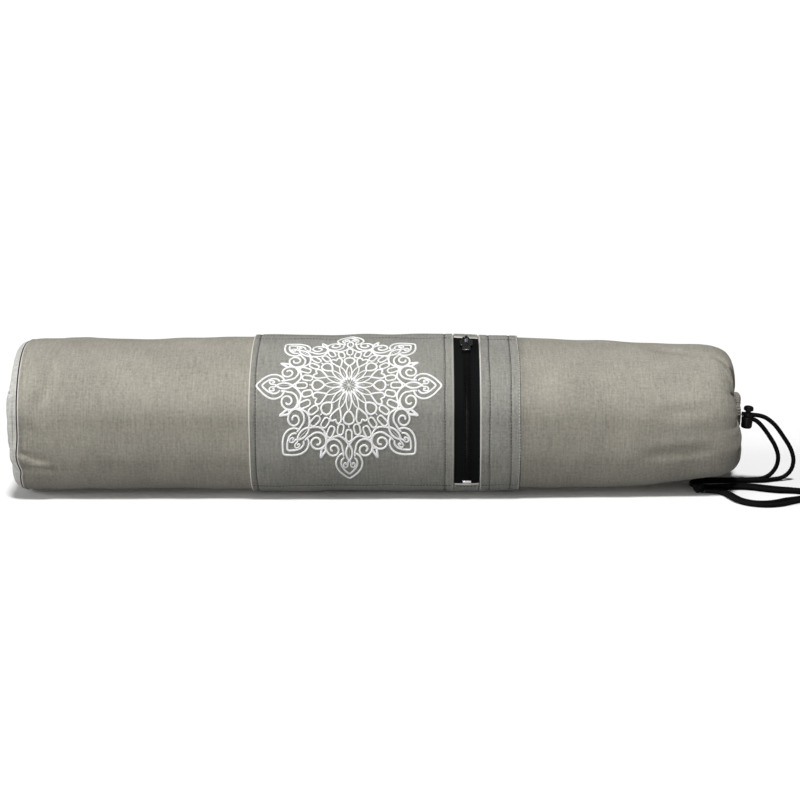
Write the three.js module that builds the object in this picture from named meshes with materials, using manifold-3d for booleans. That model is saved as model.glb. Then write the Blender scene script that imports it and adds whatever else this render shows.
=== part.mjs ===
// A drawstring bag for a rolled yoga mat, lying filled on a surface. Millimetres, +Z up.
// X runs along the bag with the gathered mouth at +X, the pocket faces -Y and the floor is Z 0.
import * as THREE from 'three';
import { mergeVertices } from 'three/addons/utils/BufferGeometryUtils.js';
import Module from 'manifold-3d';

const wasm = await Module();
wasm.setup();

// The whole bag
const bagLength = 716;
const bagWidth = 186;
const bagHeight = 142;
const widestHeight = 80;
const upperPower = 2.05;
const lowerPower = 3.3;
const flattening = 0.7;
const canvasWall = 1.8;
const clearance = 0.3;
const weldOverlap = 0.1;

// The round end and the band sewn over it
const endPuff = 11;
const bandWidth = 52;
const bandHeight = 78;
const bandThickness = 1.4;
const bandLift = 0.95;
const bandReach = 0.915;

// The gathered mouth
const mouthDepth = 30;
const mouthSag = 5.5;
const mouthHeight = 69;
const mouthHole = 20;
const pleatCount = 12;
const pleatDepth = 3.4;
const casingDepth = 7.2;
const casingThickness = 7.4;
const casingGathers = 14;
const casingScallop = 0.5;

// The pocket patch, placed along X and along the cloth from the top of the bag
const pocketStart = -123;
const pocketEnd = 137.5;
const pocketTop = -20;
const pocketDrop = 238;
const patchThickness = 1.5;
const patchLift = 0.45;
const zipCentre = 86;
const zipWindow = 25;
const zipTabTop = 22;
const zipTabBottom = 27;

// The zip
const tapeThickness = 0.8;
const coilWidth = 6.8;
const coilHeight = 1.7;
const sliderWidth = 12;
const sliderLength = 15;
const sliderPlate = 1.3;
const sliderAt = 24.5;
const bridgeWidth = 3;
const bridgeLength = 9;
const bridgeBar = 1;
const pullWidth = 8;
const pullLength = 20;
const pullThickness = 1.4;
const pullTilt = 8;
const pullPlay = 0.2;
const stopWidth = 8.2;
const stopLength = 4.5;
const stopThickness = 1;

// The cord lock
const lockHeight = 22.5;
const lockDiameter = 11;
const lockNeck = 9.7;
const lockCapHeight = 4.6;
const lockTilt = 6;
const lockSide = 14;
const lockDrop = 3.7;
const lockTravel = 2;
const lockStandOff = 0.8;
const lockRound = 2.2;
const lockGroove = 0.5;
const capRound = 2;
const stemDiameter = 6.6;
const barrelFloor = 2;

// The drawcord
const cordDiameter = 4;
const cordSpacing = 4.6;
const cordInLock = 11.7;
const cordSides = 8;
const cordSteps = 76;
const knotLength = 13;
const knotWidth = 11;
const knotHeight = 9;
const cordLift = 0.1;

// Sections along the body. at is a share of the straight body, width and height are shares
// of the bag's own, lift is the height that the underside clears the floor by.
const bodySections = [
  { at: 0.0, width: 0.985, height: 0.975, lift: 0 },
  { at: 0.025, width: 1.0, height: 0.99, lift: 0 },
  { at: 0.15, width: 1.0, height: 0.985, lift: 0 },
  { at: 0.34, width: 1.0, height: 0.998, lift: 0 },
  { at: 0.52, width: 1.0, height: 1.0, lift: 0 },
  { at: 0.65, width: 0.997, height: 0.998, lift: 0 },
  { at: 0.73, width: 0.988, height: 0.99, lift: 0 },
  { at: 0.81, width: 0.97, height: 0.974, lift: 0 },
  { at: 0.885, width: 0.95, height: 0.946, lift: 0.008 },
  { at: 0.95, width: 0.93, height: 0.899, lift: 0.042 },
  { at: 1.0, width: 0.915, height: 0.872, lift: 0.066 },
];

// The pleated dome. reach is a share of the mouth's depth, size a share of the last body
// section, fold a share of the pleat's depth, and round how far the ring has become a circle.
// Past a reach of 1 the cloth bulges out round the casing before it turns in to the neck.
// sag is how far the mat's weight pushes the lower half out, as a share of mouthSag.
const domeSections = [
  { reach: 0.36, size: 0.985, fold: 0.08, round: 0.0, sag: 0.15 },
  { reach: 0.62, size: 0.945, fold: 0.25, round: 0.0, sag: 0.45 },
  { reach: 0.83, size: 0.88, fold: 0.5, round: 0.03, sag: 0.75 },
  { reach: 0.97, size: 0.77, fold: 0.85, round: 0.1, sag: 0.95 },
  { reach: 1.05, size: 0.6, fold: 1.0, round: 0.25, sag: 1.0 },
  { reach: 1.08, size: 0.42, fold: 0.8, round: 0.5, sag: 0.75 },
  { reach: 1.04, size: 0.29, fold: 0.5, round: 0.8, sag: 0.15 },
  { reach: 1.0, size: 0.2, fold: 0.2, round: 1.0, sag: 0.0 },
];

// The puffed round end. size is a share of the end's outline, puff a share of the end's puff.
const endSections = [
  { size: 1.0, puff: 0.0 },
  { size: 0.985, puff: 0.43 },
  { size: 0.95, puff: 0.74 },
  { size: 0.87, puff: 0.92 },
  { size: 0.65, puff: 0.985 },
  { size: 0.3, puff: 1.0 },
];

// Each strand's way through the air, chosen by hand: x beyond the casing, y, z.
const outerFall = [
  [0.5, -14, 68.65],
  [6.3, -14, 68.05],
  [12.5, -14, 67.4],
  [18, -14, 66.7],
  [24.5, -14, 64.4],
  [33.2, -13.8, 57.4],
  [43, -13, 44.2],
  [50.6, -12.3, 31.4],
  [53.4, -11.2, 19.7],
  [51, -10.6, 10],
  [44, -12.2, 3.9],
  [34, -16, 2.1],
  [23, -20.5, 2.1],
];
const innerFall = [
  [0.5, -14, 64.05],
  [6.3, -14, 63.45],
  [12.3, -14, 62.8],
  [16.5, -14, 60.4],
  [22, -14, 54.6],
  [28.5, -13.8, 45.6],
  [34.6, -13, 35.4],
  [38, -11.7, 24.8],
  [37, -9.6, 14.3],
  [31.5, -9.2, 6],
  [23, -12.2, 2.4],
];

// The two strands' shared way over the floor: the middle of the pair, and how far apart
// the strands lie.
const floorRun = [
  [10, -18.9, 4.8],
  [-4, -19.3, 4.6],
  [-18, -19.1, 4.6],
  [-34.5, -20.1, 4.6],
  [-43.8, -24, 4.6],
  [-47.7, -33.3, 4.6],
  [-43.8, -42.6, 4.6],
  [-34.5, -46.5, 5.0],
  [-19, -45.5, 7.0],
  [-4, -44, 8.0],
  [9, -46, 9.0],
  [21, -52, 9.5],
  [33, -57, 9.0],
  [45, -59.7, 7.0],
  [55.6, -64.3, 6.0],
  [60.2, -75, 6.0],
  [56, -85.5, 6.0],
  [47.5, -92.1, 7.0],
  [36.5, -98.5, 9.5],
  [25, -106.5, 10.0],
  [12, -110, 9.0],
  [-1, -106.5, 7.0],
  [-10.5, -96.5, 5.5],
  [-15.5, -83.5, 5.0],
  [-20, -71, 4.8],
  [-28, -62, 4.6],
  [-38.5, -58.5, 4.6],
];

// Colours
const canvasGrey = 0xa09c93;
const patchGrey = 0x8b8a83;
const zipBlack = 0x151418;
const plasticBlack = 0x1b1a1c;
const cordBlack = 0x141316;
const gunmetal = 0x4a4a4d;
const whiteMetal = 0xcfcdc8;

// Mesh counts, and how far samples round a section crowd where its outline turns
const ringCount = 72;
const turnCrowding = 0.5;
const outlineSteps = 1440;
const endColumns = ringCount / 2;
const bandColumns = 22;
const bandRows = 4;
const casingSides = 8;
const turnedSides = 20;
const cornerSegments = 3;

const bodyStart = -bagLength / 2 + endPuff + bandLift + bandThickness;
const mouthEnd = bagLength / 2;
const casingStart = mouthEnd - casingDepth;
const neckEnd = casingStart - clearance;
const domeStart = neckEnd - mouthDepth;
const bodyLength = domeStart - bodyStart;
const casingRadius = mouthHole / 2 + casingThickness / 2 + casingScallop;
const neckRadius = casingRadius;

function material(colour, roughness, metalness = 0) {
  return new THREE.MeshStandardMaterial({ color: colour, roughness, metalness });
}

function canvas(colour = canvasGrey) {
  return material(colour, 0.92);
}

function namedMesh(name, geometry, finish) {
  const mesh = new THREE.Mesh(geometry, finish);
  mesh.name = name;
  return mesh;
}

// The cross-section: an ellipse over a squarer lower half that sags onto the floor.
function sectionAt(angle) {
  const upper = Math.sin(angle) >= 0;
  const power = 2 / (upper ? upperPower : lowerPower);
  const rise = Math.abs(Math.sin(angle)) ** power;
  const side = Math.abs(Math.cos(angle)) ** power * Math.sign(Math.cos(angle));
  const height = upper
    ? widestHeight + (bagHeight - widestHeight) * rise
    : widestHeight - (widestHeight + flattening) * rise;
  return new THREE.Vector2((bagWidth / 2) * side, Math.max(height, 0));
}

// Rings start at the top and go down the front. Samples crowd where the outline turns.
function sectionRing(count) {
  const points = [];
  for (let i = 0; i <= outlineSteps; i += 1) {
    points.push(sectionAt(Math.PI / 2 + (2 * Math.PI * i) / outlineSteps));
  }
  const reach = [0];
  let heading = null;
  for (let i = 1; i <= outlineSteps; i += 1) {
    const step = points[i].clone().sub(points[i - 1]);
    const turn = heading === null || step.length() === 0 ? 0 : heading.angleTo(step);
    heading = step.length() === 0 ? heading : step;
    reach.push(reach[i - 1] + step.length() / bagWidth + turnCrowding * turn);
  }
  const ring = [];
  let k = 0;
  for (let j = 0; j < count; j += 1) {
    const wanted = (reach[outlineSteps] * j) / count;
    while (reach[k + 1] < wanted) {
      k += 1;
    }
    const part = (wanted - reach[k]) / (reach[k + 1] - reach[k]);
    ring.push(points[k].clone().lerp(points[k + 1], part));
  }
  return ring;
}

const ring = sectionRing(ringCount);

function placeSection(point, section) {
  return new THREE.Vector3(
    section.x,
    point.x * section.width,
    bagHeight * section.lift + point.y * section.height,
  );
}

const bodyRows = bodySections.map((row) => ({ ...row, x: bodyStart + bodyLength * row.at }));

function bodySectionAt(x) {
  const last = bodyRows.length - 1;
  let k = 0;
  while (k < last - 1 && bodyRows[k + 1].x < x) {
    k += 1;
  }
  const low = bodyRows[k];
  const high = bodyRows[k + 1];
  const part = (x - low.x) / (high.x - low.x);
  const mix = (name) => THREE.MathUtils.lerp(low[name], high[name], part);
  return { x, width: mix('width'), height: mix('height'), lift: mix('lift') };
}

// Builds a closed wall between two grids of points. around closes each row on itself.
function wallBetween(outer, inner, around) {
  const rows = outer.length;
  const columns = outer[0].length;
  const vertices = [];
  for (const grid of [outer, inner]) {
    for (const row of grid) {
      for (const point of row) {
        vertices.push(point.x, point.y, point.z);
      }
    }
  }
  const index = (side, i, j) => side * rows * columns + i * columns + (j % columns);
  const faces = [];
  const quad = (a, b, c, d) => faces.push(a, b, c, a, c, d);
  const spans = around ? columns : columns - 1;
  for (let i = 0; i < rows - 1; i += 1) {
    for (let j = 0; j < spans; j += 1) {
      quad(index(0, i, j), index(0, i, j + 1), index(0, i + 1, j + 1), index(0, i + 1, j));
      quad(index(1, i, j), index(1, i + 1, j), index(1, i + 1, j + 1), index(1, i, j + 1));
    }
  }
  for (let j = 0; j < spans; j += 1) {
    quad(index(0, 0, j), index(1, 0, j), index(1, 0, j + 1), index(0, 0, j + 1));
    const end = rows - 1;
    quad(index(0, end, j), index(0, end, j + 1), index(1, end, j + 1), index(1, end, j));
  }
  if (!around) {
    const side = columns - 1;
    for (let i = 0; i < rows - 1; i += 1) {
      quad(index(0, i, 0), index(0, i + 1, 0), index(1, i + 1, 0), index(1, i, 0));
      quad(index(0, i, side), index(1, i, side), index(1, i + 1, side), index(0, i + 1, side));
    }
  }
  return facedOut(vertices, faces);
}

function facedOut(vertices, faces) {
  const geometry = new THREE.BufferGeometry();
  geometry.setAttribute('position', new THREE.Float32BufferAttribute(vertices, 3));
  geometry.setIndex(faces);
  if (signedVolume(geometry) < 0) {
    for (let i = 0; i < faces.length; i += 3) {
      [faces[i + 1], faces[i + 2]] = [faces[i + 2], faces[i + 1]];
    }
    geometry.setIndex(faces);
  }
  return geometry;
}

function signedVolume(geometry) {
  const position = geometry.getAttribute('position');
  const index = geometry.getIndex();
  const corner = [new THREE.Vector3(), new THREE.Vector3(), new THREE.Vector3()];
  let volume = 0;
  for (let i = 0; i < index.count; i += 3) {
    for (let k = 0; k < 3; k += 1) {
      corner[k].fromBufferAttribute(position, index.getX(i + k));
    }
    volume += corner[0].dot(corner[1].cross(corner[2]));
  }
  return volume / 6;
}

// Normals of a grid of points that closes around, pointing away from the middle line.
function gridNormals(grid, middle) {
  const rows = grid.length;
  const columns = grid[0].length;
  return grid.map((row, i) => row.map((point, j) => {
    const along = grid[Math.min(i + 1, rows - 1)][j].clone().sub(grid[Math.max(i - 1, 0)][j]);
    const round = row[(j + 1) % columns].clone().sub(row[(j + columns - 1) % columns]);
    const normal = along.cross(round).normalize();
    return normal.dot(point.clone().sub(middle(i))) < 0 ? normal.negate() : normal;
  }));
}

// The long tube of canvas, with its pleated dome
function canvasSleeve() {
  const shoulder = bodyRows[bodyRows.length - 1];
  const rows = bodyRows.map((section) => ({
    fold: 0,
    points: ring.map((point) => placeSection(point, section)),
  }));
  for (const dome of domeSections) {
    const x = domeStart + mouthDepth * dome.reach;
    rows.push({
      fold: dome.fold,
      points: ring.map((point, j) => domePoint(point, j, x, dome, shoulder)),
    });
  }
  const grid = rows.map((row) => row.points);
  const within = (i) => new THREE.Vector3(grid[i][0].x - bagHeight / 4, 0, mouthHeight);
  const normals = gridNormals(grid, within);
  const lastRow = grid.length - 1;
  const offset = (i, j, distance) => {
    const normal = normals[i][j].clone();
    if (i === 0) {
      normal.setX(0).normalize();
    }
    if (i === lastRow) {
      normal.set(1, 0, 0);
    }
    return grid[i][j].clone().addScaledVector(normal, distance);
  };
  const pleat = (i, j) => {
    const turn = (2 * Math.PI * pleatCount * j) / ringCount;
    return (-pleatDepth * rows[i].fold * (1 - Math.cos(turn))) / 2;
  };
  const outer = grid.map((row, i) => row.map((_, j) => offset(i, j, pleat(i, j))));
  const inner = grid.map((row, i) => row.map((_, j) => offset(i, j, pleat(i, j) - canvasWall)));
  return wallBetween(outer, inner, true);
}

function domePoint(point, j, x, dome, shoulder) {
  const full = placeSection(point, { ...shoulder, x });
  const centre = new THREE.Vector3(x, 0, mouthHeight);
  const oval = full.sub(centre).multiplyScalar(dome.size);
  const angle = Math.PI / 2 + (2 * Math.PI * j) / ringCount;
  const circle = new THREE.Vector3(0, Math.cos(angle), Math.sin(angle));
  const radius = Math.max(neckRadius, (dome.size * (bagWidth + bagHeight) * shoulder.width) / 4);
  circle.multiplyScalar(dome.round === 1 ? neckRadius : radius);
  const place = oval.lerp(circle, dome.round).add(centre);
  place.x += mouthSag * dome.sag * ((1 - Math.sin(angle)) / 2) ** 2;
  return place;
}

// The round end: outline rows from the seam to the middle, closed by a cap of triangles
function endPanel() {
  const seam = bodyRows[0];
  const outline = ring.filter((_, j) => j % (ringCount / endColumns) === 0);
  const middle = new THREE.Vector2(0, widestHeight);
  const seamX = bodyStart - clearance / 2;
  const surface = (inset) => endSections.map((row) => outline.map((point) => {
    const spread = point.clone().sub(middle);
    const length = spread.length();
    const scale = (row.size * (length - inset)) / length;
    const flat = middle.clone().addScaledVector(spread, scale);
    const place = placeSection(flat, seam);
    place.x = seamX - (endPuff - clearance / 2 - inset) * row.puff;
    return place;
  }));
  return cappedBowl(surface(0), surface(canvasWall));
}

// A bowl between two grids whose last rows are each closed by a fan
function cappedBowl(outer, inner) {
  const rows = outer.length;
  const columns = outer[0].length;
  const vertices = [];
  for (const grid of [outer, inner]) {
    for (const row of grid) {
      for (const point of row) {
        vertices.push(point.x, point.y, point.z);
      }
    }
  }
  const tips = [];
  for (const grid of [outer, inner]) {
    const last = grid[rows - 1];
    const centre = new THREE.Vector3();
    last.forEach((point) => centre.addScaledVector(point, 1 / columns));
    tips.push(vertices.length / 3);
    vertices.push(last[0].x, centre.y, centre.z);
  }
  const index = (side, i, j) => side * rows * columns + i * columns + (j % columns);
  const faces = [];
  const quad = (a, b, c, d) => faces.push(a, b, c, a, c, d);
  for (let j = 0; j < columns; j += 1) {
    for (let i = 0; i < rows - 1; i += 1) {
      quad(index(0, i, j), index(0, i, j + 1), index(0, i + 1, j + 1), index(0, i + 1, j));
      quad(index(1, i, j), index(1, i + 1, j), index(1, i + 1, j + 1), index(1, i, j + 1));
    }
    faces.push(index(0, rows - 1, j), index(0, rows - 1, j + 1), tips[0]);
    faces.push(index(1, rows - 1, j + 1), index(1, rows - 1, j), tips[1]);
    quad(index(0, 0, j), index(1, 0, j), index(1, 0, j + 1), index(0, 0, j + 1));
  }
  return facedOut(vertices, faces);
}

// How far the round end stands out at a share of its outline
function puffAt(size) {
  const rows = endSections;
  for (let k = 0; k < rows.length - 1; k += 1) {
    if (size >= rows[k + 1].size) {
      const part = (rows[k].size - size) / (rows[k].size - rows[k + 1].size);
      return THREE.MathUtils.lerp(rows[k].puff, rows[k + 1].puff, part);
    }
  }
  return 1;
}

// The flat band over the round end
function endBand() {
  const seam = bodyRows[0];
  const surface = (lift) => {
    const grid = [];
    for (let i = 0; i <= bandRows; i += 1) {
      const row = [];
      const z = bandHeight + bandWidth * (0.5 - i / bandRows);
      const reach = bandReach * halfWidthAt(z / seam.height) * seam.width;
      for (let j = 0; j <= bandColumns; j += 1) {
        const across = Math.sin((Math.PI / 2) * ((2 * j) / bandColumns - 1));
        const y = reach * across;
        const size = outlineShare(y / seam.width, z / seam.height);
        const x = bodyStart - clearance / 2 - (endPuff - clearance / 2) * puffAt(size) - lift;
        row.push(new THREE.Vector3(x, y, z));
      }
      grid.push(row);
    }
    return grid;
  };
  return wallBetween(surface(bandLift + bandThickness), surface(bandLift), false);
}

// The share of its way to the outline that a height lies at, with the outline's power there
function riseAt(z) {
  const upper = z >= widestHeight;
  const power = upper ? upperPower : lowerPower;
  const span = upper ? bagHeight - widestHeight : widestHeight + flattening;
  return { power, rise: Math.abs((z - widestHeight) / span) ** power };
}

function halfWidthAt(z) {
  const { power, rise } = riseAt(z);
  return (bagWidth / 2) * (1 - rise) ** (1 / power);
}

// The share of the end's outline that a point in its plane lies at
function outlineShare(y, z) {
  const { power, rise } = riseAt(z);
  return (Math.abs(y / (bagWidth / 2)) ** power + rise) ** (1 / power);
}

// The gathered casing round the mouth
function mouthCasing() {
  const around = 4 * casingGathers;
  const vertices = [];
  const faces = [];
  for (let i = 0; i < around; i += 1) {
    const turn = (2 * Math.PI * i) / around;
    const gather = casingScallop * Math.cos(casingGathers * turn);
    for (let k = 0; k < casingSides; k += 1) {
      const roll = (2 * Math.PI * k) / casingSides;
      const radius = casingRadius + (casingThickness / 2 + gather) * Math.cos(roll);
      const x = casingStart + casingDepth / 2 + (casingDepth / 2) * Math.sin(roll);
      vertices.push(x, radius * Math.cos(turn), mouthHeight + radius * Math.sin(turn));
    }
  }
  for (let i = 0; i < around; i += 1) {
    const next = (i + 1) % around;
    for (let k = 0; k < casingSides; k += 1) {
      const onward = (k + 1) % casingSides;
      const a = i * casingSides + k;
      const b = i * casingSides + onward;
      const c = next * casingSides + onward;
      const d = next * casingSides + k;
      faces.push(a, b, c, a, c, d);
    }
  }
  return facedOut(vertices, faces);
}

// The cloth's own measure down the front of the full section, from the top
const arcAt = [0];
for (let j = 1; j < ringCount; j += 1) {
  arcAt.push(arcAt[j - 1] + ring[j].distanceTo(ring[j - 1]));
}
const wholeArc = arcAt[ringCount - 1] + ring[0].distanceTo(ring[ringCount - 1]);

// A place on the cloth at a distance down the front, with the direction out of it
function clothAt(x, down) {
  const section = bodySectionAt(x);
  const arc = (down + wholeArc) % wholeArc;
  let k = ringCount - 1;
  while (arcAt[k] > arc) {
    k -= 1;
  }
  const next = (k + 1) % ringCount;
  const length = k === ringCount - 1 ? wholeArc - arcAt[k] : arcAt[next] - arcAt[k];
  const part = (arc - arcAt[k]) / length;
  const place = placeSection(ring[k].clone().lerp(ring[next], part), section);
  const out = cornerNormal(k, section).lerp(cornerNormal(next, section), part).normalize();
  return { place, out };
}

function cornerNormal(j, section) {
  const before = placeSection(ring[(j + ringCount - 1) % ringCount], section);
  const after = placeSection(ring[(j + 1) % ringCount], section);
  const along = after.sub(before);
  return new THREE.Vector3(0, along.z, -along.y).normalize();
}

// The distances down the cloth at which a patch has its rows
function rowsBetween(top, bottom) {
  const rows = [top];
  for (let j = -ringCount; j < ringCount; j += 1) {
    const arc = j < 0 ? arcAt[j + ringCount] - wholeArc : arcAt[j];
    if (arc > top + 1 && arc < bottom - 1) {
      rows.push(arc);
    }
  }
  rows.push(bottom);
  return rows;
}

// A flat piece of cloth laid on the bag, from x to x and from one height to another
function patch(startX, endX, top, bottom, lift, thickness) {
  const stations = bodyRows.map((row) => row.x).filter((x) => x > startX + 1 && x < endX - 1);
  const columns = [startX, ...stations, endX];
  const rows = rowsBetween(top, bottom);
  const surface = (height) => rows.map((down) => columns.map((x) => {
    const { place, out } = clothAt(x, down);
    return place.addScaledVector(out, height);
  }));
  return wallBetween(surface(lift + thickness), surface(lift), false);
}

const zipStart = zipCentre - zipWindow / 2;
const zipEnd = zipCentre + zipWindow / 2;
const pocketBottom = pocketTop + pocketDrop;
const zipTop = pocketTop + zipTabTop;
const zipBottom = pocketBottom - zipTabBottom;

// The zip's slider stands in its own frame: X across the zip, Y up the cloth, Z out of it.
function onCloth(down, lift) {
  const group = new THREE.Group();
  const { place, out } = clothAt(zipCentre, down);
  group.position.copy(place.addScaledVector(out, lift));
  group.rotation.x = Math.atan2(-out.y, out.z);
  return group;
}

function solid(geometry) {
  const plain = geometry.clone();
  plain.deleteAttribute('normal');
  plain.deleteAttribute('uv');
  const merged = mergeVertices(plain, 1e-4);
  return new wasm.Manifold(new wasm.Mesh({
    numProp: 3,
    vertProperties: new Float32Array(merged.getAttribute('position').array),
    triVerts: new Uint32Array(merged.getIndex().array),
  }));
}

function meshed(body) {
  const result = body.getMesh();
  const places = new Float32Array(result.vertProperties);
  const corners = new Uint32Array(result.triVerts);
  const geometry = new THREE.BufferGeometry();
  geometry.setAttribute('position', new THREE.BufferAttribute(places, 3));
  geometry.setIndex(new THREE.BufferAttribute(corners, 1));
  return geometry;
}

function block(width, length, height, x, y, z) {
  return new THREE.BoxGeometry(width, length, height).translate(x, y, z);
}

function roundedOutline(width, top, bottom, corner) {
  const half = width / 2;
  const outline = new THREE.Shape();
  outline.moveTo(-half + corner, bottom);
  outline.lineTo(half - corner, bottom);
  outline.absarc(half - corner, bottom + corner, corner, -Math.PI / 2, 0);
  outline.lineTo(half, top - corner);
  outline.absarc(half - corner, top - corner, corner, 0, Math.PI / 2);
  outline.lineTo(-half + corner, top);
  outline.absarc(-half + corner, top - corner, corner, Math.PI / 2, Math.PI);
  outline.lineTo(-half, bottom + corner);
  outline.absarc(-half + corner, bottom + corner, corner, Math.PI, Math.PI * 1.5);
  return outline;
}

function plate(outline, thickness, z) {
  const settings = { depth: thickness, bevelEnabled: false, curveSegments: cornerSegments };
  return new THREE.ExtrudeGeometry(outline, settings).translate(0, 0, z);
}

const coilTop = tapeThickness + coilHeight;
const plateBottom = coilTop + clearance;
const plateTop = plateBottom + sliderPlate;
const hingeHeight = plateTop + bridgeBar + pullThickness / 2 + clearance;

// The slider: a plate over the teeth with a flange down each side and a bridge on top
function zipSlider() {
  const flangeHeight = plateBottom - tapeThickness - clearance;
  const flange = (sliderWidth - coilWidth) / 2 - clearance;
  const flangeX = (sliderWidth - flange) / 2;
  const flangeZ = tapeThickness + clearance + flangeHeight / 2;
  const half = sliderLength / 2;
  const outline = roundedOutline(sliderWidth, half, -half, sliderWidth / 4);
  let body = solid(plate(outline, sliderPlate, plateBottom));
  for (const side of [-1, 1]) {
    const height = flangeHeight + weldOverlap;
    const rail = block(flange, half, height, side * flangeX, 0, flangeZ + weldOverlap / 2);
    body = body.add(solid(rail));
  }
  const opening = 2 * (hingeHeight - plateTop);
  const archHeight = opening + bridgeBar + weldOverlap;
  const archMiddle = plateTop - weldOverlap + archHeight / 2;
  const arch = block(bridgeWidth, bridgeLength, archHeight, 0, 0, archMiddle);
  const hole = block(2 * bridgeWidth, bridgeLength - 2 * bridgeBar, opening, 0, 0, hingeHeight);
  return meshed(body.add(solid(arch)).subtract(solid(hole)));
}

// The pull tab: a plate with a window whose top bar passes through the bridge
function zipPull() {
  const bar = pullThickness / 2 + pullPlay / 2;
  const outline = roundedOutline(pullWidth, bar, -pullLength, pullWidth / 4);
  const windowHalf = bridgeWidth / 2 + clearance + pullPlay;
  const windowEnd = -bar - bridgeLength / 2 - clearance - 3 * pullPlay;
  const window = new THREE.Path();
  window.moveTo(-windowHalf, -bar);
  window.lineTo(-windowHalf, windowEnd);
  window.lineTo(windowHalf, windowEnd);
  window.lineTo(windowHalf, -bar);
  window.closePath();
  outline.holes.push(window);
  return plate(outline, pullThickness, -pullThickness / 2);
}

function zip() {
  const group = new THREE.Group();
  const black = () => material(zipBlack, 0.85);
  const gap = clearance;
  const halfCoil = coilWidth / 2;
  const strip = (start, end, thickness) => {
    return patch(start, end, zipTop + gap, zipBottom - gap, patchLift, thickness);
  };
  const tape = (start, end) => strip(start, end, tapeThickness);
  group.add(
    namedMesh('zip_tape_left', tape(zipStart + gap, zipCentre - halfCoil - gap), black()),
    namedMesh('zip_tape_right', tape(zipCentre + halfCoil + gap, zipEnd - gap), black()),
    namedMesh(
      'zip_coil',
      strip(zipCentre - halfCoil, zipCentre + halfCoil, coilTop - gap),
      material(zipBlack, 0.5),
    ),
  );
  const slider = onCloth(zipTop + sliderAt, patchLift + gap);
  slider.add(namedMesh('zip_slider', zipSlider(), material(gunmetal, 0.35, 0.9)));
  const pull = namedMesh('zip_pull', zipPull(), material(gunmetal, 0.35, 0.9));
  pull.position.z = hingeHeight;
  pull.rotation.x = THREE.MathUtils.degToRad(pullTilt);
  slider.add(pull);
  const stop = onCloth(zipBottom - stopLength, patchLift + gap);
  const clip = block(stopWidth, stopLength, stopThickness, 0, 0, coilTop + stopThickness / 2);
  stop.add(namedMesh('zip_bottom_stop', clip, material(whiteMetal, 0.3, 0.9)));
  group.add(slider, stop);
  return group;
}

function pocket() {
  const group = new THREE.Group();
  const piece = (name, start, end, top, bottom) => {
    const cloth = patch(start, end, top, bottom, patchLift, patchThickness);
    return namedMesh(name, cloth, canvas(patchGrey));
  };
  const tabStart = zipStart + clearance;
  const tabEnd = zipEnd - clearance;
  group.add(
    piece('pocket_panel', pocketStart, zipStart, pocketTop, pocketBottom),
    piece('pocket_strip', zipEnd, pocketEnd, pocketTop, pocketBottom),
    piece('zip_tab_top', tabStart, tabEnd, pocketTop, zipTop),
    piece('zip_tab_bottom', tabStart, tabEnd, zipBottom, pocketBottom),
  );
  return group;
}

// Turned pieces of the cord lock have their profile as radius and height.
function turned(profile) {
  const points = profile.map(([radius, height]) => new THREE.Vector2(radius, height));
  return new THREE.LatheGeometry(points, turnedSides).rotateX(Math.PI / 2);
}

const slotWidth = cordDiameter + 2 * clearance;
const slotHeight = cordSpacing + cordDiameter + 2 * clearance;
const barrelTop = lockHeight - lockCapHeight - lockTravel - clearance;

// The barrel: rounded below, narrower above, bored from the top and slotted for the cords
function lockBarrel() {
  const wide = lockDiameter / 2;
  const narrow = lockNeck / 2;
  const waist = lockHeight / 2;
  const round = lockRound;
  const groove = lockGroove;
  const outside = turned([
    [0, 0],
    [wide - round, 0],
    [wide - 0.3 * round, 0.3 * round],
    [wide, round],
    [wide, waist - 2 * groove],
    [wide - groove, waist - groove],
    [narrow - groove, waist],
    [narrow, waist + groove],
    [narrow, barrelTop - groove],
    [narrow - groove, barrelTop],
    [0, barrelTop],
  ]);
  const bore = turned([
    [0, barrelFloor],
    [stemDiameter / 2 + clearance, barrelFloor],
    [stemDiameter / 2 + clearance, barrelTop + 1],
    [0, barrelTop + 1],
  ]);
  const slot = block(2 * lockDiameter, slotWidth, slotHeight, 0, 0, cordInLock);
  return meshed(solid(outside).subtract(solid(bore)).subtract(solid(slot)));
}

// The button: a domed cap on a stem whose two legs stand either side of the cords
function lockButton() {
  const capBottom = lockHeight - lockCapHeight;
  const cap = lockNeck / 2;
  const round = capRound;
  const stemBottom = barrelFloor + lockTravel + clearance;
  const outside = turned([
    [0, stemBottom],
    [stemDiameter / 2, stemBottom],
    [stemDiameter / 2, capBottom],
    [cap, capBottom],
    [cap, lockHeight - round],
    [cap - 0.3 * round, lockHeight - 0.3 * round],
    [cap - round, lockHeight],
    [0, lockHeight],
  ]);
  const top = cordInLock + slotHeight / 2 + lockTravel;
  const bottom = stemBottom - 1;
  const cut = block(2 * lockDiameter, slotWidth, top - bottom, 0, 0, (top + bottom) / 2);
  return meshed(solid(outside).subtract(solid(cut)));
}

function cordLock() {
  const lock = new THREE.Group();
  const reach = lockDiameter / 2 + lockStandOff;
  lock.position.set(mouthEnd + reach, -lockSide, mouthHeight - lockDrop);
  lock.rotation.y = THREE.MathUtils.degToRad(lockTilt);
  const stand = new THREE.Group();
  stand.position.z = -lockHeight / 2;
  stand.add(namedMesh('lock_barrel', lockBarrel(), material(plasticBlack, 0.5)));
  stand.add(namedMesh('lock_button', lockButton(), material(plasticBlack, 0.5)));
  lock.add(stand);
  return lock;
}

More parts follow.
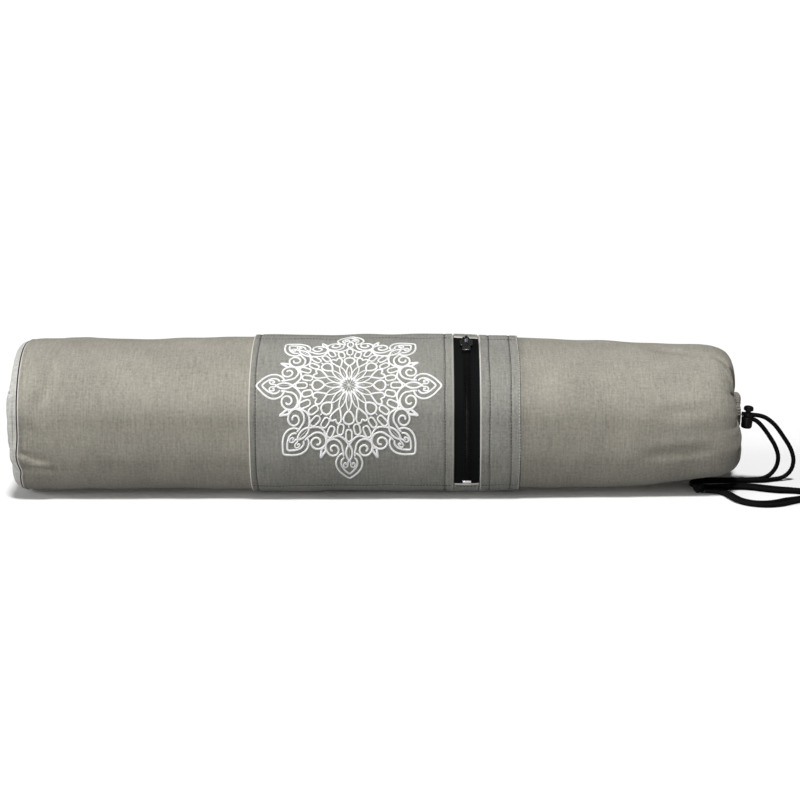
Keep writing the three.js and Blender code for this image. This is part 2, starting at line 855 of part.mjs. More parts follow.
// One strand of the drawcord: its own fall, then its side of the pair's way over the floor
function strandRoute(fall, side) {
  const height = cordDiameter / 2 + cordLift;
  const route = fall.map(([x, y, z]) => new THREE.Vector3(mouthEnd + x, y, z));
  floorRun.forEach(([x, y, apart], i) => {
    const before = floorRun[Math.max(i - 1, 0)];
    const after = floorRun[Math.min(i + 1, floorRun.length - 1)];
    const along = new THREE.Vector2(after[0] - before[0], after[1] - before[1]).normalize();
    const shift = (side * apart) / 2;
    route.push(new THREE.Vector3(mouthEnd + x - along.y * shift, y + along.x * shift, height));
  });
  return route;
}

function strand(fall, side) {
  const path = new THREE.CatmullRomCurve3(strandRoute(fall, side), false, 'centripetal');
  const section = new THREE.Shape();
  for (let k = 0; k < cordSides; k += 1) {
    const angle = (2 * Math.PI * k) / cordSides;
    const x = (cordDiameter / 2) * Math.cos(angle);
    const y = (cordDiameter / 2) * Math.sin(angle);
    if (k === 0) {
      section.moveTo(x, y);
    } else {
      section.lineTo(x, y);
    }
  }
  section.closePath();
  return new THREE.ExtrudeGeometry(section, { steps: cordSteps, bevelEnabled: false, extrudePath: path });
}

// The knot that ties the two strands together
function cordKnot() {
  const [x, y] = floorRun[floorRun.length - 1];
  const knot = new THREE.SphereGeometry(0.5, 12, 8).rotateX(Math.PI / 2);
  knot.scale(knotLength, knotWidth, knotHeight);
  return knot.translate(mouthEnd + x - knotLength / 2 - clearance, y, knotHeight / 2 + cordLift);
}

function drawcord() {
  const group = new THREE.Group();
  const black = () => material(cordBlack, 0.9);
  group.add(
    namedMesh('drawcord_outer', strand(outerFall, 1), black()),
    namedMesh('drawcord_inner', strand(innerFall, -1), black()),
    namedMesh('cord_knot', cordKnot(), black()),
  );
  return group;
}

const matBag = new THREE.Group();
matBag.add(
  namedMesh('canvas_sleeve', canvasSleeve(), canvas()),
  namedMesh('end_panel', endPanel(), canvas()),
  namedMesh('end_band', endBand(), canvas()),
  namedMesh('mouth_casing', mouthCasing(), canvas()),
  pocket(),
  zip(),
  cordLock(),
  drawcord(),
);

export default matBag;
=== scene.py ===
import math
import random

import bmesh
import bpy
import numpy as np
from mathutils import Matrix, Vector


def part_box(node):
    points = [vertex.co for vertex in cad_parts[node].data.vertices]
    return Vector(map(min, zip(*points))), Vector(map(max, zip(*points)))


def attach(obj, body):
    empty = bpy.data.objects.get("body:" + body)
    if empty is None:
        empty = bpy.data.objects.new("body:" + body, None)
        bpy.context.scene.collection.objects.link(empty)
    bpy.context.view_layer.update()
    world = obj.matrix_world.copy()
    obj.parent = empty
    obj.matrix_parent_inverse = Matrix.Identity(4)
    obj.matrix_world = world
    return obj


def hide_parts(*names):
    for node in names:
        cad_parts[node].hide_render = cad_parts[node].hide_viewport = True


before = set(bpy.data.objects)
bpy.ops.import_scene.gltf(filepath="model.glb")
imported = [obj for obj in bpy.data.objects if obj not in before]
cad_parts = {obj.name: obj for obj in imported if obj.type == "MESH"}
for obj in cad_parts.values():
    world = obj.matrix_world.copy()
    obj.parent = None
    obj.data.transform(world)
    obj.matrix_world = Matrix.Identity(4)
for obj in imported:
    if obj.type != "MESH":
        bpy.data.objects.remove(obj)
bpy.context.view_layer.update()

tau = 2 * math.pi
mm = 0.001
bpy.ops.object.select_all(action="DESELECT")

# The camera stands where the photograph was taken from
cameraSettings = {
    "place": (0.0494, -2.2458, 0.58),
    "aim": (0.0208, 0, 0.08),
    "roll": -0.26,
    "lens": 104.13,
    "sensor": 36,
}


def makeCamera(settings):
    data = bpy.data.cameras.new("camera")
    data.lens = settings["lens"]
    data.sensor_width = settings["sensor"]
    data.clip_end = 50
    camera = bpy.data.objects.new("camera", data)
    bpy.context.scene.collection.objects.link(camera)
    sight = Vector(settings["aim"]) - Vector(settings["place"])
    turned = sight.to_track_quat("-Z", "Y").to_matrix()
    turned = turned @ Matrix.Rotation(math.radians(settings["roll"]), 3, "Z")
    camera.matrix_world = Matrix.Translation(settings["place"]) @ turned.to_4x4()
    bpy.context.scene.camera = camera


makeCamera(cameraSettings)

# Mesh making


def linked(name, mesh):
    piece = bpy.data.objects.new(name, mesh)
    bpy.context.scene.collection.objects.link(piece)
    return piece


def only(piece):
    bpy.ops.object.select_all(action="DESELECT")
    piece.select_set(True)
    bpy.context.view_layer.objects.active = piece


def smooth(piece, angle=None):
    only(piece)
    if angle is None:
        bpy.ops.object.shade_smooth()
    else:
        bpy.ops.object.shade_smooth_by_angle(angle=math.radians(angle))


def applied(piece, kind, **settings):
    modifier = piece.modifiers.new(kind.lower(), kind)
    for key, value in settings.items():
        setattr(modifier, key, value)
    only(piece)
    bpy.ops.object.modifier_apply(modifier=modifier.name)
    return piece


def rowFaces(rows, columns, around, start=0):
    # Quads of a grid of vertices whose rows may close on themselves
    i, j = np.meshgrid(np.arange(rows - 1), np.arange(columns if around else columns - 1), indexing="ij")
    i, j = i.ravel(), j.ravel()
    after = (j + 1) % columns
    row, below = i * columns, (i + 1) * columns
    return np.stack([row + j, row + after, below + after, below + j], 1) + start, (i, j)


def meshFrom(name, points, faces, uvs=None, litEdge=None):
    mesh = bpy.data.meshes.new(name)
    mesh.from_pydata(np.asarray(points, float).tolist(), [], [list(map(int, f)) for f in faces])
    if uvs is not None:
        layer = mesh.uv_layers.new(name="cloth")
        layer.data.foreach_set("uv", np.asarray(uvs, np.float32).ravel())
    # An optional value per point that marks where a painted edge highlight goes
    if litEdge is not None:
        attribute = mesh.attributes.new("litEdge", "FLOAT", "POINT")
        attribute.data.foreach_set("value", np.asarray(litEdge, np.float32).ravel())
    mesh.validate()
    mesh.update()
    return linked(name, mesh)


def facedOut(piece):
    model = bmesh.new()
    model.from_mesh(piece.data)
    bmesh.ops.recalc_face_normals(model, faces=model.faces)
    model.to_mesh(piece.data)
    model.free()
    return piece


sheetCrease = 50  # degrees past which an edge of a sheet stays sharp


def sheetMesh(name, outer, inner, uv, around=False, litEdge=None, openEnd=False):
    # A closed wall between two grids of the same size. uv has one more column where the grid closes.
    # With openEnd the two skins are left apart at the last row.
    rows, columns = outer.shape[:2]
    count = rows * columns
    points = np.concatenate([outer.reshape(-1, 3), inner.reshape(-1, 3)])
    faces = []
    corners = []
    for start, turned in ((0, False), (count, True)):
        quads, (i, j) = rowFaces(rows, columns, around, start)
        places = np.stack([uv[i, j], uv[i, j + 1], uv[i + 1, j + 1], uv[i + 1, j]], 1)
        faces.append(quads[:, ::-1] if turned else quads)
        corners.append(places[:, ::-1] if turned else places)
    rims = []
    rimUv = []
    spans = columns if around else columns - 1
    ends = ((0, True),) if openEnd else ((0, True), (rows - 1, False))
    for i, turned in ends:
        for j in range(spans):
            a = i * columns + j
            b = i * columns + (j + 1) % columns
            quad = [a, b, b + count, a + count]
            place = [uv[i, j], uv[i, j + 1], uv[i, j + 1], uv[i, j]]
            rims.append(quad[::-1] if turned else quad)
            rimUv.append(place[::-1] if turned else place)
    if not around:
        for j, turned in ((0, False), (columns - 1, True)):
            for i in range(rows - 1):
                a = i * columns + j
                b = (i + 1) * columns + j
                quad = [a, b, b + count, a + count]
                place = [uv[i, j], uv[i + 1, j], uv[i + 1, j], uv[i, j]]
                rims.append(quad[::-1] if turned else quad)
                rimUv.append(place[::-1] if turned else place)
    allFaces = np.concatenate(faces + [np.array(rims)])
    allUv = np.concatenate(corners + [np.array(rimUv)])
    twice = None if litEdge is None else np.concatenate([litEdge.ravel(), litEdge.ravel()])
    piece = facedOut(meshFrom(name, points, allFaces, allUv, twice))
    smooth(piece, sheetCrease)
    return piece


def tubeRings(path, closed=False):
    # Frames along a path that turn as little as they can: places, and two directions across
    path = np.asarray(path, float)
    if closed:
        along = np.roll(path, -1, 0) - np.roll(path, 1, 0)
    else:
        along = np.gradient(path, axis=0)
    along /= np.linalg.norm(along, axis=1)[:, None]
    across = np.zeros_like(path)
    start = np.cross(along[0], [0.3, 0.2, 0.9])
    across[0] = start / np.linalg.norm(start)
    for k in range(1, len(path)):
        turned = across[k - 1] - along[k] * (across[k - 1] @ along[k])
        across[k] = turned / np.linalg.norm(turned)
    if closed:
        last = across[-1] - along[0] * (across[-1] @ along[0])
        other = np.cross(along[0], across[0])
        twist = math.atan2(last @ other, last @ across[0])
        turn = -twist * np.arange(len(path)) / len(path)
        other = np.cross(along, across)
        across = across * np.cos(turn)[:, None] + other * np.sin(turn)[:, None]
    return path, across, np.cross(along, across)


def splineThrough(points, step):
    # A centripetal Catmull-Rom curve through the points, sampled about every step
    points = np.asarray(points, float)
    ghosts = np.vstack([2 * points[0] - points[1], points, 2 * points[-1] - points[-2]])
    out = []
    for k in range(1, len(ghosts) - 2):
        p = ghosts[k - 1:k + 3]
        knots = [0.0]
        for a, b in zip(p[:-1], p[1:]):
            knots.append(knots[-1] + max(np.linalg.norm(b - a), 1e-9) ** 0.5)
        count = max(int(np.linalg.norm(p[2] - p[1]) / step), 1)
        t = np.linspace(knots[1], knots[2], count, endpoint=False)[:, None]
        a1 = ((knots[1] - t) * p[0] + (t - knots[0]) * p[1]) / (knots[1] - knots[0])
        a2 = ((knots[2] - t) * p[1] + (t - knots[1]) * p[2]) / (knots[2] - knots[1])
        a3 = ((knots[3] - t) * p[2] + (t - knots[2]) * p[3]) / (knots[3] - knots[2])
        b1 = ((knots[2] - t) * a1 + (t - knots[0]) * a2) / (knots[2] - knots[0])
        b2 = ((knots[3] - t) * a2 + (t - knots[1]) * a3) / (knots[3] - knots[1])
        out.append(((knots[2] - t) * b1 + (t - knots[1]) * b2) / (knots[2] - knots[1]))
    out.append(points[-1:])
    return np.vstack(out)


def lengthsAlong(path):
    return np.concatenate([[0], np.cumsum(np.linalg.norm(np.diff(path, axis=0), axis=1))])


# Materials


class Wire:
    # A shader socket that can be added, multiplied and so on like a number
    def __init__(self, tree, socket):
        self.tree = tree
        self.socket = socket

    def maths(self, operation, *values):
        node = self.tree.nodes.new("ShaderNodeMath")
        node.operation = operation
        for slot, value in zip(node.inputs, values):
            if isinstance(value, Wire):
                self.tree.links.new(value.socket, slot)
            else:
                slot.default_value = value
        return Wire(self.tree, node.outputs[0])

    def __add__(self, other):
        return self.maths("ADD", self, other)

    def __radd__(self, other):
        return self.maths("ADD", other, self)

    def __sub__(self, other):
        return self.maths("SUBTRACT", self, other)

    def __rsub__(self, other):
        return self.maths("SUBTRACT", other, self)

    def __mul__(self, other):
        return self.maths("MULTIPLY", self, other)

    def __rmul__(self, other):
        return self.maths("MULTIPLY", other, self)

    def sine(self):
        return self.maths("SINE", self)

    def size(self):
        return self.maths("ABSOLUTE", self)

    def held(self):
        node = self.maths("ADD", self, 0.0)
        node.socket.node.use_clamp = True
        return node


class Finish:
    def __init__(self, name, **constants):
        self.material = bpy.data.materials.new(name)
        self.material.use_nodes = True
        self.tree = self.material.node_tree
        self.shader = self.tree.nodes["Principled BSDF"]
        for name, value in constants.items():
            self.shader.inputs[name.replace("_", " ")].default_value = value

    def node(self, kind, settings=None, output=0, **sockets):
        made = self.tree.nodes.new("ShaderNode" + kind)
        for key, value in (settings or {}).items():
            setattr(made, key, value)
        for key, value in sockets.items():
            slot = made.inputs[int(key[1:])] if key[1:].isdigit() else made.inputs[key.replace("_", " ")]
            if isinstance(value, Wire):
                self.tree.links.new(value.socket, slot)
            else:
                slot.default_value = value
        return Wire(self.tree, made.outputs[output])

    def feed(self, name, wire):
        self.tree.links.new(wire.socket, self.shader.inputs[name])

    def noise(self, place, scale, detail=2.0, roughness=0.5):
        return self.node("TexNoise", Vector=place, Scale=scale, Detail=detail, Roughness=roughness)

    def stretched(self, place, across, along, up=1.0):
        return self.node("Mapping", Vector=place, Scale=(across, along, up))

    def mixed(self, share, first, second):
        # s0 is the factor, s6 and s7 the two colours of a colour mix
        return self.node("Mix", {"data_type": "RGBA"}, output=2, s0=share, s6=first, s7=second)

    def bump(self, height, distance, strength=1.0):
        self.feed("Normal", self.node("Bump", Height=height, Distance=distance, Strength=strength))

    def clothPlace(self):
        return self.node("UVMap", {"uv_map": "cloth"})

    def objectPlace(self):
        return self.node("TexCoord", output=3)

    def axes(self, place):
        parts = self.node("SeparateXYZ", Vector=place)
        outputs = parts.socket.node.outputs
        return parts, Wire(self.tree, outputs[1]), Wire(self.tree, outputs[2])


def grey(level, warmth=0.0, green=0.0):
    # A near grey in linear light, warmer where warmth is above 0
    return (level * (1 + warmth), level * (1 + green), level * (1 - warmth), 1)


canvasSettings = {
    "threads": 0.00078,
    "weaveDepth": 0.00016,
    "slub": 0.2,
    "slubScale": (620, 45),
    "mottle": 0.3,
    "mottleScale": (420, 340),
    "cloud": 0.12,
    "cloudScale": (14, 17),
    "frayScale": (900, 900),
    "roughness": 0.95,
    "sheen": 0.05,
}


def canvasFinish(name, dark, light, edge, cloth=canvasSettings):
    # Plain woven cotton: crossing threads, slubs along both ways and soft mottling
    made = Finish(name, Roughness=cloth["roughness"], Sheen_Weight=cloth["sheen"], Specular_IOR_Level=0.2)
    place = made.clothPlace()
    across, down, _ = made.axes(place)
    turn = math.pi / cloth["threads"]
    warp = (across * turn).sine()
    weft = (down * turn).sine()
    over = (warp * weft * 2.5 + 0.5).held()
    weave = warp.size() * over + weft.size() * (1 - over)
    slubDown = made.noise(made.stretched(place, *cloth["slubScale"]), 1.0, 2.0)
    slubAcross = made.noise(made.stretched(place, *cloth["slubScale"][::-1]), 1.0, 2.0)
    mottle = made.noise(made.stretched(place, *cloth["mottleScale"]), 1.0, 3.0, 0.65)
    cloud = made.noise(made.stretched(place, *cloth["cloudScale"]), 1.0, 2.0)
    shade = (slubDown - 0.5) * 2 * cloth["slub"] + (slubAcross - 0.5) * cloth["slub"]
    shade = shade + (mottle - 0.5) * 2 * cloth["mottle"] + (cloud - 0.5) * 2 * cloth["cloud"]
    tone = (shade * 2 + 0.5 + (weave - 0.6) * 0.35).held()
    colour = made.mixed(tone, dark, light)
    # Painted highlight along folded edges: where the mesh marks an edge, the edge colour is mixed in, broken
    # up by fray noise
    litEdge = made.node("Attribute", {"attribute_name": "litEdge"}, output=2)
    fray = made.noise(made.stretched(place, *cloth["frayScale"]), 1.0, 1.0)
    made.feed("Base Color", made.mixed((litEdge * (0.7 + fray * 0.6)).held(), colour, edge))
    made.bump(weave * 0.75 + slubDown * 0.9 + slubAcross * 0.5, cloth["weaveDepth"], 0.8)
    return made.material


def threadFinish(name, colour, dark, twist, roughness):
    # Sewing thread laid side by side: fine ridges across the run of the stitch
    made = Finish(name, Roughness=roughness, Sheen_Weight=0.2, Specular_IOR_Level=0.35)
    along, across, _ = made.axes(made.clothPlace())
    ridge = ((along + across * 0.25) * (tau / twist)).sine() * 0.5 + 0.5
    speck = made.noise(made.objectPlace(), 900.0, 2.0)
    made.feed("Base Color", made.mixed((ridge * 0.75 + speck * 0.5 - 0.1).held(), dark, colour))
    made.bump(ridge, 0.00018, 0.7)
    return made.material


def tapeFinish(name, light, dark):
    # Herringbone tape of the zip
    made = Finish(name, Roughness=0.9, Specular_IOR_Level=0.05)
    place = made.clothPlace()
    across, down, _ = made.axes(place)
    rib = ((down + across.size() * 0.6) * (tau / 0.0009)).sine() * 0.5 + 0.5
    column = (across * (tau / 0.0016)).sine() * 0.5 + 0.5
    fluff = made.noise(made.objectPlace(), 700.0, 3.0)
    made.feed("Base Color", made.mixed((rib * 0.4 + column * 0.25 + fluff * 0.5 - 0.1).held(), dark, light))
    made.bump(rib * 0.7 + column * 0.4, 0.00016, 0.8)
    return made.material


def cordFinish(name, light, dark):
    # Braided cord: strands crossing both ways round it
    made = Finish(name, Roughness=0.85, Specular_IOR_Level=0.06)
    along, round_, _ = made.axes(made.clothPlace())
    first = (along * (tau / 0.0052) + round_ * (tau * 6)).sine()
    second = (along * (tau / 0.0052) - round_ * (tau * 6)).sine()
    braid = first.maths("MAXIMUM", first, second) * 0.5 + 0.5
    hair = made.noise(made.stretched(made.clothPlace(), 2200, 40), 1.0, 2.0)
    made.feed("Base Color", made.mixed((braid * 0.6 + hair * 0.6 - 0.2).held(), dark, light))
    made.bump(braid + hair * 0.3, 0.0002, 0.7)
    return made.material


def metalFinish(name, light, dark, roughness, wear):
    # Plated zinc: fine brushing, darker in blotches, a little rubbed
    made = Finish(name, Metallic=1.0, Specular_IOR_Level=0.5)
    place = made.objectPlace()
    brushed = made.noise(made.stretched(place, 3000, 260, 3000), 1.0, 2.0)
    blotch = made.noise(place, 340.0, 3.0)
    made.feed("Base Color", made.mixed((blotch * 1.2 - 0.2 + (brushed - 0.5) * 0.4).held(), dark, light))
    made.feed("Roughness", (brushed * wear + roughness + (blotch - 0.5) * 0.16).held())
    made.bump(brushed, 0.00003, 0.5)
    return made.material


def plasticFinish(name, light, dark, roughness):
    # Moulded matte plastic with a fine grain
    made = Finish(name, Specular_IOR_Level=0.08)
    place = made.objectPlace()
    grain = made.noise(place, 2600.0, 3.0)
    blotch = made.noise(place, 260.0, 2.0)
    made.feed("Base Color", made.mixed((grain * 0.6 + blotch * 0.6 - 0.1).held(), dark, light))
    made.feed("Roughness", (roughness + (grain - 0.5) * 0.2 + (blotch - 0.5) * 0.1).held())
    made.bump(grain, 0.00005, 0.5)
    return made.material


# Each canvas: its dark threads, its light threads and the painted highlight of its folded edges
bagCanvas = canvasFinish(
    "bag_canvas", grey(0.15, 0.11, 0.05), grey(0.325, 0.11, 0.05), grey(0.46, 0.06, 0.02))
# The round end and its band are the bag's canvas painted paler: painted light where they face the lamp from
# the left
litEndCanvas = canvasFinish(
    "end_canvas", grey(0.25, 0.04, 0.03), grey(0.5, 0.04, 0.03), grey(0.5, 0.04, 0.02))
pocketCanvas = canvasFinish(
    "pocket_canvas", grey(0.13, 0.06, 0.045), grey(0.285, 0.06, 0.045), grey(0.5, 0.06, 0.02))
whiteThread = threadFinish("white_thread", grey(0.93), grey(0.62), 0.0005, 0.55)
seamThread = threadFinish("seam_thread", grey(0.06, 0.03), grey(0.02), 0.0005, 0.75)
edgeThread = threadFinish("edge_thread", grey(0.62, 0.02), grey(0.36, 0.03), 0.0005, 0.7)
zipTape = tapeFinish("zip_tape", grey(0.008, -0.08), grey(0.002))
zipTeeth = plasticFinish("zip_teeth", grey(0.004), grey(0.0015), 0.6)
gunmetal = metalFinish("gunmetal", grey(0.24), grey(0.05), 0.22, 0.12)
whiteMetal = metalFinish("white_metal", grey(0.82, 0.01), grey(0.6, 0.02), 0.24, 0.1)
lockPlastic = plasticFinish("lock_plastic", grey(0.004), grey(0.0015), 0.5)
cordBlack = cordFinish("cord_black", grey(0.006), grey(0.001))
print("materials made")

# The bag's shape. Lengths along X come from the frame; shares are of the bag's own sizes.
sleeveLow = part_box("canvas_sleeve")[0]
casingLow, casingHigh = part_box("mouth_casing")
panelLow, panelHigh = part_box("pocket_panel")
stripLow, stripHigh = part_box("pocket_strip")
tabLow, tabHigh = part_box("zip_tab_top")
bandLow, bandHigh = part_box("end_band")
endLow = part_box("end_panel")[0]

bagShape = {
    "halfWidth": 0.093,
    "height": 0.142,
    "widest": 0.08,
    "upperPower": 2.05,
    "lowerPower": 3.3,
    "flattening": 0.0007,
    "start": sleeveLow.x,
    "domeDepth": 0.03,
    "domeSag": 0.0055,
    "mouthHeight": (casingLow.z + casingHigh.z) / 2,
    "neckRadius": 0.0142,
    "wall": 0.0018,
    "seamHold": 0.004,
    "neckGap": 0.0003,
    "floorGap": 0.0001,
}
domeStart = casingLow.x - bagShape["neckGap"] - bagShape["domeDepth"]

# Rows along the body: share of its length, width, height, lift of the underside
bodyRows = np.array([
    (0.0, 0.985, 0.975, 0.0),
    (0.025, 1.0, 0.99, 0.0),
    (0.15, 1.0, 0.985, 0.0),
    (0.34, 1.0, 0.998, 0.0),
    (0.52, 1.0, 1.0, 0.0),
    (0.65, 0.997, 0.998, 0.0),
    (0.73, 0.988, 0.99, 0.0),
    (0.81, 0.97, 0.974, 0.0),
    (0.885, 0.95, 0.946, 0.008),
    (0.95, 0.93, 0.899, 0.042),
    (1.0, 0.915, 0.872, 0.066),
])
# Rows of the gathered dome: reach, size, depth of its pleats, how round it has become, sag
domeRows = np.array([
    (0.0, 1.0, 0.0, 0.0, 0.0),
    (0.36, 0.985, 0.08, 0.0, 0.15),
    (0.62, 0.945, 0.25, 0.0, 0.45),
    (0.83, 0.88, 0.5, 0.03, 0.75),
    (0.97, 0.77, 0.85, 0.1, 0.95),
    (1.05, 0.6, 1.0, 0.25, 1.0),
    (1.08, 0.42, 0.8, 0.5, 0.75),
    (1.04, 0.29, 0.5, 0.8, 0.15),
    (1.0, 0.2, 0.2, 1.0, 0.0),
])


def sectionOutline(shape, count=6000):
    # The full cross-section from the top down the front and round: y, z and distance along it
    angle = tau / 4 + tau * np.arange(count + 1) / count
    rise, side = np.sin(angle), np.cos(angle)
    upper = rise >= 0
    power = np.where(upper, 2 / shape["upperPower"], 2 / shape["lowerPower"])
    climb = np.abs(rise) ** power
    above = shape["widest"] + (shape["height"] - shape["widest"]) * climb
    below = np.maximum(shape["widest"] - (shape["widest"] + shape["flattening"]) * climb, 0)
    y = shape["halfWidth"] * np.sign(side) * np.abs(side) ** power
    z = np.where(upper, above, below)
    return y, z, np.concatenate([[0], np.cumsum(np.hypot(np.diff(y), np.diff(z)))])


outlineY, outlineZ, outlineArc = sectionOutline(bagShape)
wholeArc = outlineArc[-1]


def onOutline(down):
    arc = np.mod(down, wholeArc)
    return np.interp(arc, outlineArc, outlineY), np.interp(arc, outlineArc, outlineZ)


def rowValues(rows, at, spread=0.03):
    # Table values with the corners at its rows rounded off
    values = []
    for shift in np.linspace(-spread, spread, 9):
        here = np.clip(at + shift * np.minimum(1, np.minimum(at, 1 - at) / spread), 0, 1)
        values.append([np.interp(here, rows[:, 0], rows[:, k]) for k in range(1, rows.shape[1])])
    return np.mean(np.array(values), axis=0)


# Creases pressed into the cloth: from x, down to x, down, then half-width and depth. Below 0 is a ridge.
creases = [
    (-0.314, 0.054, -0.316, 0.084, 0.0044, 0.0026),
    (-0.316, 0.084, -0.325, 0.108, 0.0044, 0.0024),
    (-0.344, 0.157, -0.334, 0.164, 0.0026, -0.0022),
    (-0.334, 0.164, -0.316, 0.169, 0.0030, -0.0018),
    (-0.343, 0.169, -0.314, 0.176, 0.0026, 0.0026),
    (-0.339, 0.154, -0.332, 0.158, 0.0020, 0.0013),
    (-0.333, 0.128, -0.319, 0.141, 0.0045, 0.0008),
    (-0.315, -0.030, -0.283, -0.031, 0.0100, -0.0011),
    (-0.259, 0.170, -0.211, 0.181, 0.0060, 0.0007),
    (-0.229, 0.020, -0.193, 0.060, 0.0120, 0.0006),
    (-0.147, 0.040, -0.137, 0.150, 0.0090, 0.0006),
    (0.153, 0.030, 0.165, 0.140, 0.0100, 0.0007),
    (0.208, 0.060, 0.233, 0.150, 0.0110, 0.0008),
    (0.265, 0.010, 0.321, 0.030, 0.0070, 0.0012),
    (0.275, 0.075, 0.322, 0.070, 0.0060, 0.0014),
    (0.265, 0.115, 0.322, 0.112, 0.0070, 0.0011),
    (0.258, 0.160, 0.321, 0.158, 0.0060, 0.0013),
    (0.283, -0.060, 0.322, -0.050, 0.0070, 0.0013),
    (0.273, 0.300, 0.321, 0.310, 0.0080, 0.0012),
    (0.265, 0.380, 0.321, 0.372, 0.0080, 0.0012),
    (0.271, 0.440, 0.321, 0.446, 0.0080, 0.0012),
    (-0.327, 0.340, -0.287, 0.360, 0.0080, 0.0011),
    (-0.332, 0.430, -0.277, 0.420, 0.0080, 0.0010),
    (-0.117, 0.340, -0.057, 0.390, 0.0140, 0.0009),
    (0.063, 0.330, 0.103, 0.400, 0.0140, 0.0009),
]
# Slow waves of the cloth: length along x, length down, phase, height
waves = [
    (0.190, 0.260, 0.4, 0.00045),
    (0.083, -0.170, 2.1, 0.00028),
    (0.047, 0.110, 4.4, 0.00018),
    (-0.061, 0.078, 1.2, 0.00016),
]
# How far the end seam strays along the bag: middle down the cloth, half-width, distance
seamStrays = [
    (0.0, 0.075, -0.0036),
    (0.158, 0.014, -0.0022),
    (0.174, 0.006, 0.0016),
    (0.205, 0.02, -0.0012),
    (0.33, 0.03, 0.0014),
    (0.42, 0.03, -0.0016),
    (0.49, 0.02, 0.0012),
]
tableStart = -0.12  # the tables of folds measure down the cloth from here, behind the top line


def sinceTop(down):
    return np.mod(np.asarray(down) - tableStart, wholeArc) + tableStart


def seamStray(down):
    near = sinceTop(down)
    return sum(stray * np.exp(-((near - at) / reach) ** 2) for at, reach, stray in seamStrays)


def foldsAt(x, down):
    # How far the cloth stands out of its plain form
    x, down = np.broadcast_arrays(np.asarray(x, float), np.asarray(down, float))
    near = sinceTop(down)
    height = np.zeros(x.shape)
    for lengthX, lengthDown, phase, rise in waves:
        around = round(wholeArc / lengthDown)
        height += rise * np.sin(tau * x / lengthX + tau * around * near / wholeArc + phase)
    for x0, d0, x1, d1, reach, depth in creases:
        lengthX, lengthDown = x1 - x0, d1 - d0
        run = lengthX ** 2 + lengthDown ** 2
        part = ((x - x0) * lengthX + (near - d0) * lengthDown) / run
        inside = np.clip(part, 0, 1)
        away = np.hypot(x - x0 - inside * lengthX, near - d0 - inside * lengthDown) / reach
        fade = np.clip(1 - np.abs(part - 0.5) ** 3 * 6, 0.15, 1)
        # A crease is a valley with a softer ridge on each side
        height -= depth * fade * (np.exp(-away ** 2) - 0.35 * np.exp(-(away - 2) ** 2))
    seam = np.clip((x - bagShape["start"]) / bagShape["seamHold"], 0, 1)
    return height * (0.25 + 0.75 * seam)


outlineStep = 0.0006  # how far apart the outline is read for its direction


def clothAt(x, down, lift=0.0):
    # A place on the body's cloth, lifted off it
    x, down = np.broadcast_arrays(np.asarray(x, float), np.asarray(down, float))
    at = np.clip((x - bagShape["start"]) / (domeStart - bagShape["start"]), 0, 1)
    width, height, rise = rowValues(bodyRows, at)
    y, z = onOutline(down)
    yBefore, zBefore = onOutline(down - outlineStep)
    yAfter, zAfter = onOutline(down + outlineStep)
    alongY, alongZ = (yAfter - yBefore) * width, (zAfter - zBefore) * height
    length = np.hypot(alongY, alongZ)
    outY, outZ = alongZ / length, -alongY / length
    stand = lift + foldsAt(x, down)
    place = np.stack([x, y * width + outY * stand, bagShape["height"] * rise + z * height + outZ * stand], -1)
    place[..., 2] = np.maximum(place[..., 2], np.minimum(lift, 0.0004) + bagShape["floorGap"])
    return place


def clothNormals(grid, around):
    along = np.gradient(grid, axis=0)
    if around:
        across = np.roll(grid, -1, 1) - np.roll(grid, 1, 1)
    else:
        across = np.gradient(grid, axis=1)
    normal = np.cross(across, along)
    return normal / np.maximum(np.linalg.norm(normal, axis=2), 1e-12)[..., None]


sleeveSettings = {
    "columns": 264,
    "rows": 118,
    "domeRows": 34,
    "pleats": 12,
    "pleatDepth": 0.0036,
    "fineDepth": 0.00022,
    "hem": 0.0022,
    "hemRise": 0.0008,
    "litEdgeWidth": 0.001,
    "strayFade": 0.03,
    "foldFade": 0.06,
}
pleatRandom = random.Random(11)
pleatWeights = [pleatRandom.uniform(0.65, 1.15) for _ in range(sleeveSettings["pleats"])]
pleatShifts = [pleatRandom.uniform(-0.16, 0.16) for _ in range(sleeveSettings["pleats"])]
fineWeights = [pleatRandom.uniform(-1, 1) for _ in range(7)]


def pleatAt(turn, fold):
    # Depth of the pleats at a share of the way round, with sharp valleys and full crests
    step = turn * sleeveSettings["pleats"]
    index = np.floor(step).astype(int) % sleeveSettings["pleats"]
    weight = np.array(pleatWeights)[index]
    shift = np.array(pleatShifts)[index]
    within = step - np.floor(step)
    bent = within + shift * np.sin(math.pi * within) * 0.9
    valley = 1 - np.abs(np.sin(math.pi * bent)) ** 0.55
    depth = sleeveSettings["pleatDepth"] * weight * valley
    fine = sum(w * np.sin(tau * turn * (17 + 6 * k) + 1.7 * k) for k, w in enumerate(fineWeights))
    return fold * depth + sleeveSettings["fineDepth"] * fold * fine


# The front of the gathered mouth is pressed in, with a deep slit beside it
dent = {"turn": 0.15, "width": 0.09, "depth": 0.0055}
slit = {"turn": 0.055, "slant": 0.1, "width": 0.011, "depth": 0.009, "lip": 0.002}


def domeTable(count):
    # The dome's rows, evenly spaced along its profile with their corners rounded off
    onward = np.diff(domeRows[:, 0]) * bagShape["domeDepth"]
    inward = np.diff(domeRows[:, 1]) * bagShape["widest"]
    run = np.concatenate([[0], np.cumsum(np.hypot(onward, inward))])
    at = np.linspace(0, run[-1], count + 1)
    room = np.minimum(0.0025, np.minimum(at, run[-1] - at))
    shifts = np.linspace(-1, 1, 7)[:, None] * room
    return [np.mean(np.interp(at + shifts, run, column), axis=0) for column in domeRows.T]


